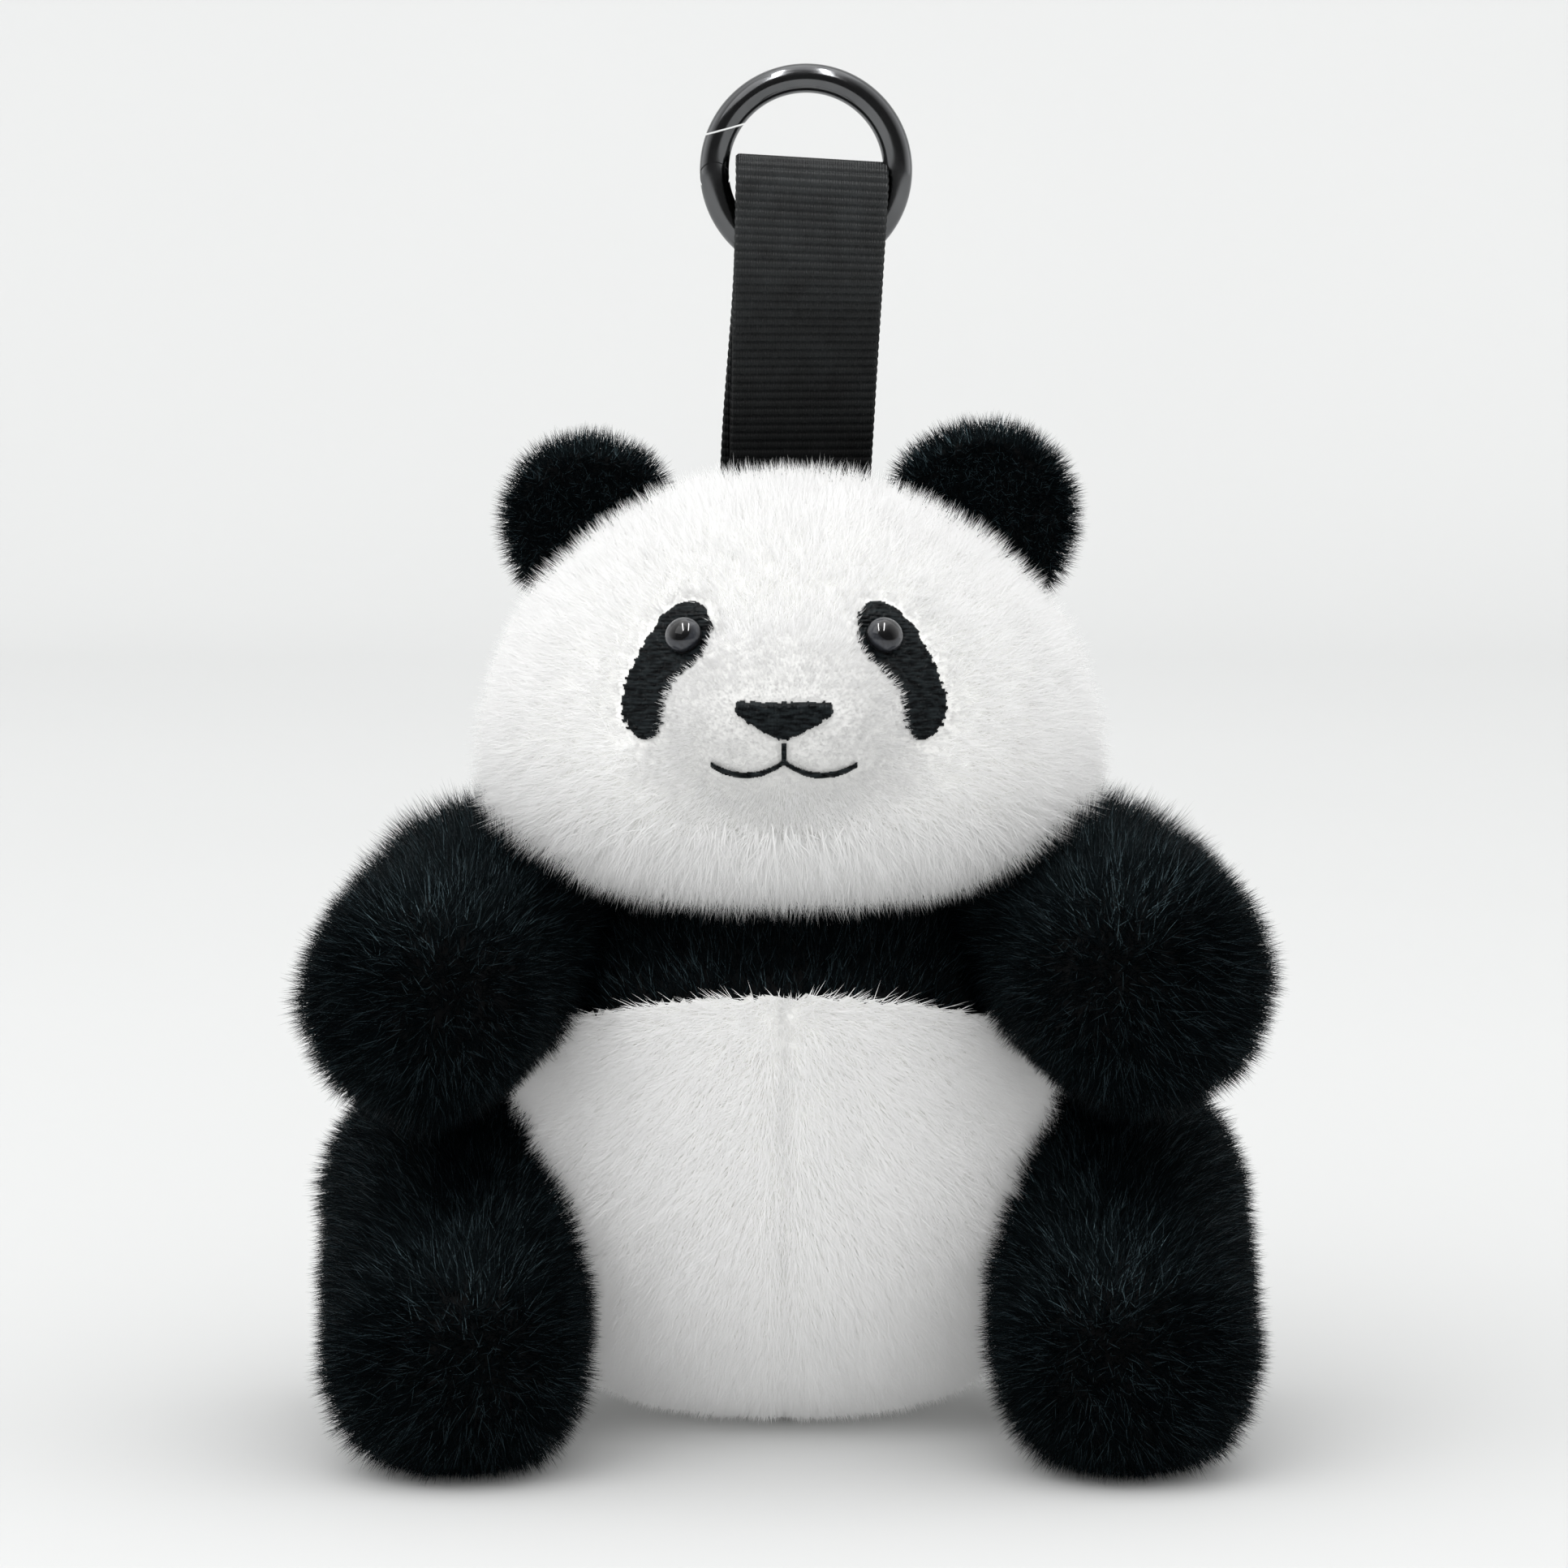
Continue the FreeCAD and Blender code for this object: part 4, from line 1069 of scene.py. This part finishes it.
def dome_mesh(centre, way, radius, height, rows=20, around=48):
    """A closed dome on a flat disc, turned as on a lathe round a line."""
    side_way = unit(np.cross(way, [[0, 0, 1.0]]))[0]
    up_way = np.cross(side_way, way)
    points, faces = [], []
    for row in range(rows):
        lift = math.pi / 2 * row / rows
        ring_centre = centre + way * height * math.sin(lift)
        for k in range(around):
            turn = 2 * math.pi * k / around
            out = math.cos(turn) * side_way + math.sin(turn) * up_way
            points.append(ring_centre + radius * math.cos(lift) * out)
    points += [centre + way * height, centre]
    top, bottom = rows * around, rows * around + 1
    for k in range(around):
        after = (k + 1) % around
        for row in range(rows - 1):
            a, b = row * around + k, row * around + after
            c, d = b + around, a + around
            faces += [(a, b, c), (a, c, d)]
        faces.append((top - around + k, top - around + after, top))
        faces.append((after, k, bottom))
    return np.array(points), np.array(faces)


def eye_dome(side):
    """A clear domed eye, as wide and as high as the lens, on the post's line."""
    washer, way = eye_axis(side)
    lens = np.array([v.co[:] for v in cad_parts[f"eye_{side}_lens"].data.vertices])
    along = (lens - washer) @ way
    centre = washer + way * along.min()
    radius = np.linalg.norm(np.cross(lens - centre, way), axis=1).max()
    points, faces = dome_mesh(centre, way, radius, along.max() - along.min())
    obj = add_mesh(f"eye_{side}_dome", points, faces)
    look = eye_material(f"eye_{side}_look", centre, way, (0.002, 0.002, 0.0025),
                        (0.024, 0.026, 0.031))
    dress(obj, look, "eye_lens", "head", f"eye_{side}_lens")


for side in SIDES:
    eye_dome(side)


# ---------------------------------------------------------------- strap

RIB_PITCH = 1.35 * MM
RIB_HEIGHT = 0.42 * MM
WEB_STEP = 0.15 * MM
WEB_THICK = 1.3 * MM
LEG_SPREAD = 0.5 * MM        # how much further apart the legs are at the middle flex line
FOLD_REACH = 15.5 * MM       # how far below the fold the legs stay as wide apart as in it
CROWN_BEND = 2.5 * MM        # how far the bend at the crown spreads up and down
MIDDLE_BEND = 4.0 * MM       # and the bend at the middle
CROWN_LEAN = -0.95 * MM      # how far the strap stands to the side at the crown
FOLD_LEAN = 1.0 * MM        # and at its fold, to the other side
BACK_LEG_LEAN = -1.5 * MM    # how much further the back leg stands over at the crown
FOLD_SLOPE = 0.06            # how much higher one end of the fold is than the other
LEG_TWIST = math.radians(5)


def strap_path():
    """Side view of the loop's middle line, front leg up and back leg down, as (y, z), and
    the heights of its crown flex line, its middle flex line and its fold's centre."""
    anchor, lower, upper = (box_of(n) for n in ("strap_anchor", "strap_lower", "strap_upper"))
    middle = (anchor[0][1] + anchor[1][1]) / 2
    half_root = (anchor[1][1] - anchor[0][1]) / 2 - WEB_THICK / 2
    half_eye = (upper[1][1] - upper[0][1]) / 2 - WEB_THICK / 2
    half_flex = half_root + LEG_SPREAD
    flex_z = upper[0][2]
    fold_z = upper[1][2] - half_eye - WEB_THICK / 2
    eye_foot = fold_z - FOLD_REACH
    legs = [(half_root, anchor[0][2]), (half_root, lower[0][2]), (half_flex, flex_z),
            (half_eye, eye_foot), (half_eye, fold_z)]
    front = [(-h, z) for h, z in legs]
    fold = [(-half_eye * math.cos(a), fold_z + half_eye * math.sin(a))
            for a in np.linspace(0, math.pi, 15)[1:-1]]
    back = [(h, z) for h, z in reversed(legs)]
    path = np.array(front + fold + back)
    path[:, 0] += middle
    return path, (lower[0][2], flex_z, fold_z)


def even_steps(path, step):
    """The path resampled at even steps, softly rounded, with its length along at each."""
    gaps = np.linalg.norm(np.diff(path, axis=0), axis=1)
    along = np.concatenate([[0], np.cumsum(gaps)])
    places = np.linspace(0, along[-1], int(along[-1] / step))
    smooth = np.stack([np.interp(places, along, path[:, i]) for i in (0, 1)], axis=1)
    for _ in range(60):
        smooth[1:-1] = 0.25 * smooth[:-2] + 0.5 * smooth[1:-1] + 0.25 * smooth[2:]
    return smooth, places


def band_faces(rows, per_row):
    """Quads of a tube of points, row by row, with each one's row."""
    i, k = np.meshgrid(np.arange(rows - 1), np.arange(per_row), indexing="ij")
    i, k = i.ravel(), k.ravel()
    after = (k + 1) % per_row
    faces = np.stack([i * per_row + k, i * per_row + after,
                      (i + 1) * per_row + after, (i + 1) * per_row + k], axis=1)
    return faces, i


def strap_mesh():
    """The whole ribbed webbing as a band: points, faces, each face's height, and the heights
    of the flex lines. share runs from 0 at the crown to 1 at the fold."""
    path, (root_z, flex_z, fold_z) = strap_path()
    line, places = even_steps(path, WEB_STEP)
    tangent = np.gradient(line, axis=0)
    tangent /= np.linalg.norm(tangent, axis=1, keepdims=True)
    normal = np.stack([-tangent[:, 1], tangent[:, 0]], axis=1)
    low, high = box_of("strap_lower")
    centre_x, half = (low[0] + high[0]) / 2, (high[0] - low[0]) / 2
    columns = np.linspace(-1, 1, 57)
    rib = np.abs(np.sin(math.pi * places / RIB_PITCH)) ** 0.8
    share = np.clip((line[:, 1] - root_z) / (fold_z - root_z), 0, 1)
    lean = CROWN_LEAN + (FOLD_LEAN - CROWN_LEAN) * share
    is_back = smooth_step(0.48, 0.52, places / places[-1])
    lean += is_back * BACK_LEG_LEAN * (1 - smooth_step(0.0, 0.8, share))
    twist = LEG_TWIST * (1 - smooth_step(0, 0.85, share)) * smooth_step(0, 0.05, share)
    slope = FOLD_SLOPE * smooth_step(0.2, 1.0, share) ** 2
    wide = (half - 0.12 * MM * (1 - rib)) * (0.95 + 0.067 * share)
    edge = np.clip((1 - np.abs(columns)) * half / (0.5 * MM), 0, 1)
    flat = 0.26 * MM * (0.35 + 0.65 * np.sqrt(edge))
    lift = flat[None, :] + RIB_HEIGHT * rib[:, None] * (0.4 + 0.6 * edge[None, :])
    x = centre_x + lean[:, None] + columns[None, :] * wide[:, None]
    from_centre = x - centre_x
    sides = []
    for sign in (1, -1):
        y = line[:, :1] + normal[:, :1] * sign * lift + from_centre * np.sin(twist)[:, None]
        z = line[:, 1:] + normal[:, 1:] * sign * lift - from_centre * slope[:, None]
        sides.append(np.stack([x, y, z], axis=2))
    loop = np.concatenate([sides[0], sides[1][:, ::-1]], axis=1)
    faces, row = band_faces(*loop.shape[:2])
    return loop.reshape(-1, 3), faces, line[:, 1][row], (root_z, flex_z)


def build_strap():
    """Two pieces that meet between the strap's flex lines."""
    points, faces, height, (root_z, flex_z) = strap_mesh()
    cut = (root_z + flex_z) / 2
    jobs = (("strap_lower_webbing", height <= cut, "head", "strap_lower", root_z, CROWN_BEND,
             ("strap_anchor", "strap_lower")),
            ("strap_upper_webbing", height > cut, "strap_lower", "strap_upper", flex_z, MIDDLE_BEND,
             ("strap_upper",)))
    for name, mine, first, second, bend_z, reach, nodes in jobs:
        used = np.unique(faces[mine])
        renumber = np.full(len(points), -1)
        renumber[used] = np.arange(len(used))
        obj = add_mesh(name, points[used], renumber[faces[mine]])
        obj.data.materials.append(WEBBING)
        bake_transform(obj)
        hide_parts(*nodes)


build_strap()


# ---------------------------------------------------------------- CAD nodes that stay

PIN_STEEL = plated_material("pin_steel", (0.45, 0.45, 0.45), 0.3)
WHITE_THREAD = thread_material("white_thread", (0.7, 0.7, 0.68), (0.85, 0.85, 0.82), 0.6)
POST_PLASTIC = plain_material("post_plastic", (0.012, 0.012, 0.012), (0.02, 0.02, 0.02), 0.3)
WASHER_PLASTIC = plain_material("washer_plastic", (0.72, 0.72, 0.70), (0.8, 0.8, 0.78), 0.6)
STAYING = {
    "ring_body": BLACK_PLATE,
    "ring_gate": BLACK_PLATE,
    "gate_pin": PIN_STEEL,
    "gate_spring": PIN_STEEL,
    "neck_gather_thread": WHITE_THREAD,
    "strap_bartack": THREAD,
}
for side in SIDES:
    STAYING[f"eye_{side}_post"] = POST_PLASTIC
    STAYING[f"eye_{side}_washer"] = WASHER_PLASTIC
for name, mat in STAYING.items():
    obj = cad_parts[name]
    obj.data.materials.clear()
    obj.data.materials.append(mat)
    obj.data.polygons.foreach_set("use_smooth", [True] * len(obj.data.polygons))


# ---------------------------------------------------------------- floor, light, camera

def studio():
    """A pale seamless sweep: floor running into a curved wall."""
    radius, front, wall, half = 0.5, -2.0, 1.2, 3.0
    profile = [(front, 0.0), (wall, 0.0)]
    profile += [(wall + radius * math.sin(a), radius - radius * math.cos(a))
                for a in np.linspace(0, math.pi / 2, 17)[1:]]
    profile.append((wall + radius, 3.0))
    points = [(x, y, z) for y, z in profile for x in (-half, half)]
    faces = [(2 * i, 2 * i + 1, 2 * i + 3, 2 * i + 2) for i in range(len(profile) - 1)]
    floor = add_mesh("studio_sweep", points, faces)
    mat, shader = material("studio_paper", 0.9, 0.1)
    colour = clouds(mat, 3.0, 2.0, (0.3, (0.60, 0.605, 0.603)), (0.7, (0.61, 0.615, 0.613)))
    join(mat, colour, shader.inputs["Base Color"])
    floor.data.materials.append(mat)


def area_light(name, place, aim, size, power, tall=None):
    """A square light, or one that is size wide and tall high, turned towards a point."""
    lamp = bpy.data.lights.new(name, "AREA")
    lamp.energy = power
    lamp.size = size
    if tall is not None:
        lamp.shape = "RECTANGLE"
        lamp.size_y = tall
    obj = bpy.data.objects.new(name, lamp)
    obj.location = place
    obj.rotation_euler = (Vector(aim) - Vector(place)).to_track_quat("-Z", "Y").to_euler()
    bpy.context.scene.collection.objects.link(obj)
    return obj


def light_studio():
    """White surroundings, a soft key from the upper left, a light overhead and a fill from
    the front. Shiny things see two tall windows and not the fill, and a dim room on the
    camera's side, as in a real studio."""
    world = bpy.data.worlds.new("studio_air")
    bpy.context.scene.world = world
    world.use_nodes = True
    background = world.node_tree.nodes["Background"]
    place = node(world, "ShaderNodeTexCoord")
    parts = node(world, "ShaderNodeSeparateXYZ")
    join(world, place.outputs["Generated"], parts.inputs["Vector"])
    room = rescaled(world, parts.outputs["Y"], -0.6, 0.35, 0.05, 1.0)
    path = node(world, "ShaderNodeLightPath")
    shade = node(world, "ShaderNodeMix")
    join(world, path.outputs["Is Glossy Ray"], shade.inputs["Factor"])
    shade.inputs["A"].default_value = 1.0
    join(world, room, shade.inputs["B"])
    power = node(world, "ShaderNodeMath", operation="MULTIPLY")
    join(world, shade.outputs["Result"], power.inputs[0])
    power.inputs[1].default_value = 1.48
    join(world, power.outputs["Value"], background.inputs["Strength"])
    background.inputs["Color"].default_value = (1, 1, 1, 1)
    aim = (0, 0, 0.1)
    area_light("key", (-0.9, -0.9, 1.5), aim, 1.2, 6.0)
    area_light("overhead", (0.1, 0.2, 1.9), aim, 1.6, 4.5)
    fill = area_light("front_fill", (0, -1.7, 0.15), aim, 1.6, 1.5, tall=0.5)
    fill.visible_glossy = False
    for x in (-0.42, 0.3):
        window = area_light("window", (x, -0.55, 1.6), (x, 0, 0.1), 0.11, 13.0, tall=1.3)
        window.visible_diffuse = False


def aim_camera():
    """A long lens a little above the toy's middle."""
    target = Vector((0, 0, 0.104))
    tilt, distance = math.radians(7.0), 1.1
    camera = bpy.data.cameras.new("camera")
    camera.sensor_width = 36.0
    camera.lens = 153.73
    camera.clip_end = 20.0
    obj = bpy.data.objects.new("camera", camera)
    obj.location = target + distance * Vector((0, -math.cos(tilt), math.sin(tilt)))
    obj.rotation_euler = (target - obj.location).to_track_quat("-Z", "Y").to_euler()
    bpy.context.scene.collection.objects.link(obj)
    bpy.context.scene.camera = obj


studio()
light_studio()
aim_camera()
bpy.context.scene.view_settings.view_transform = "Standard"
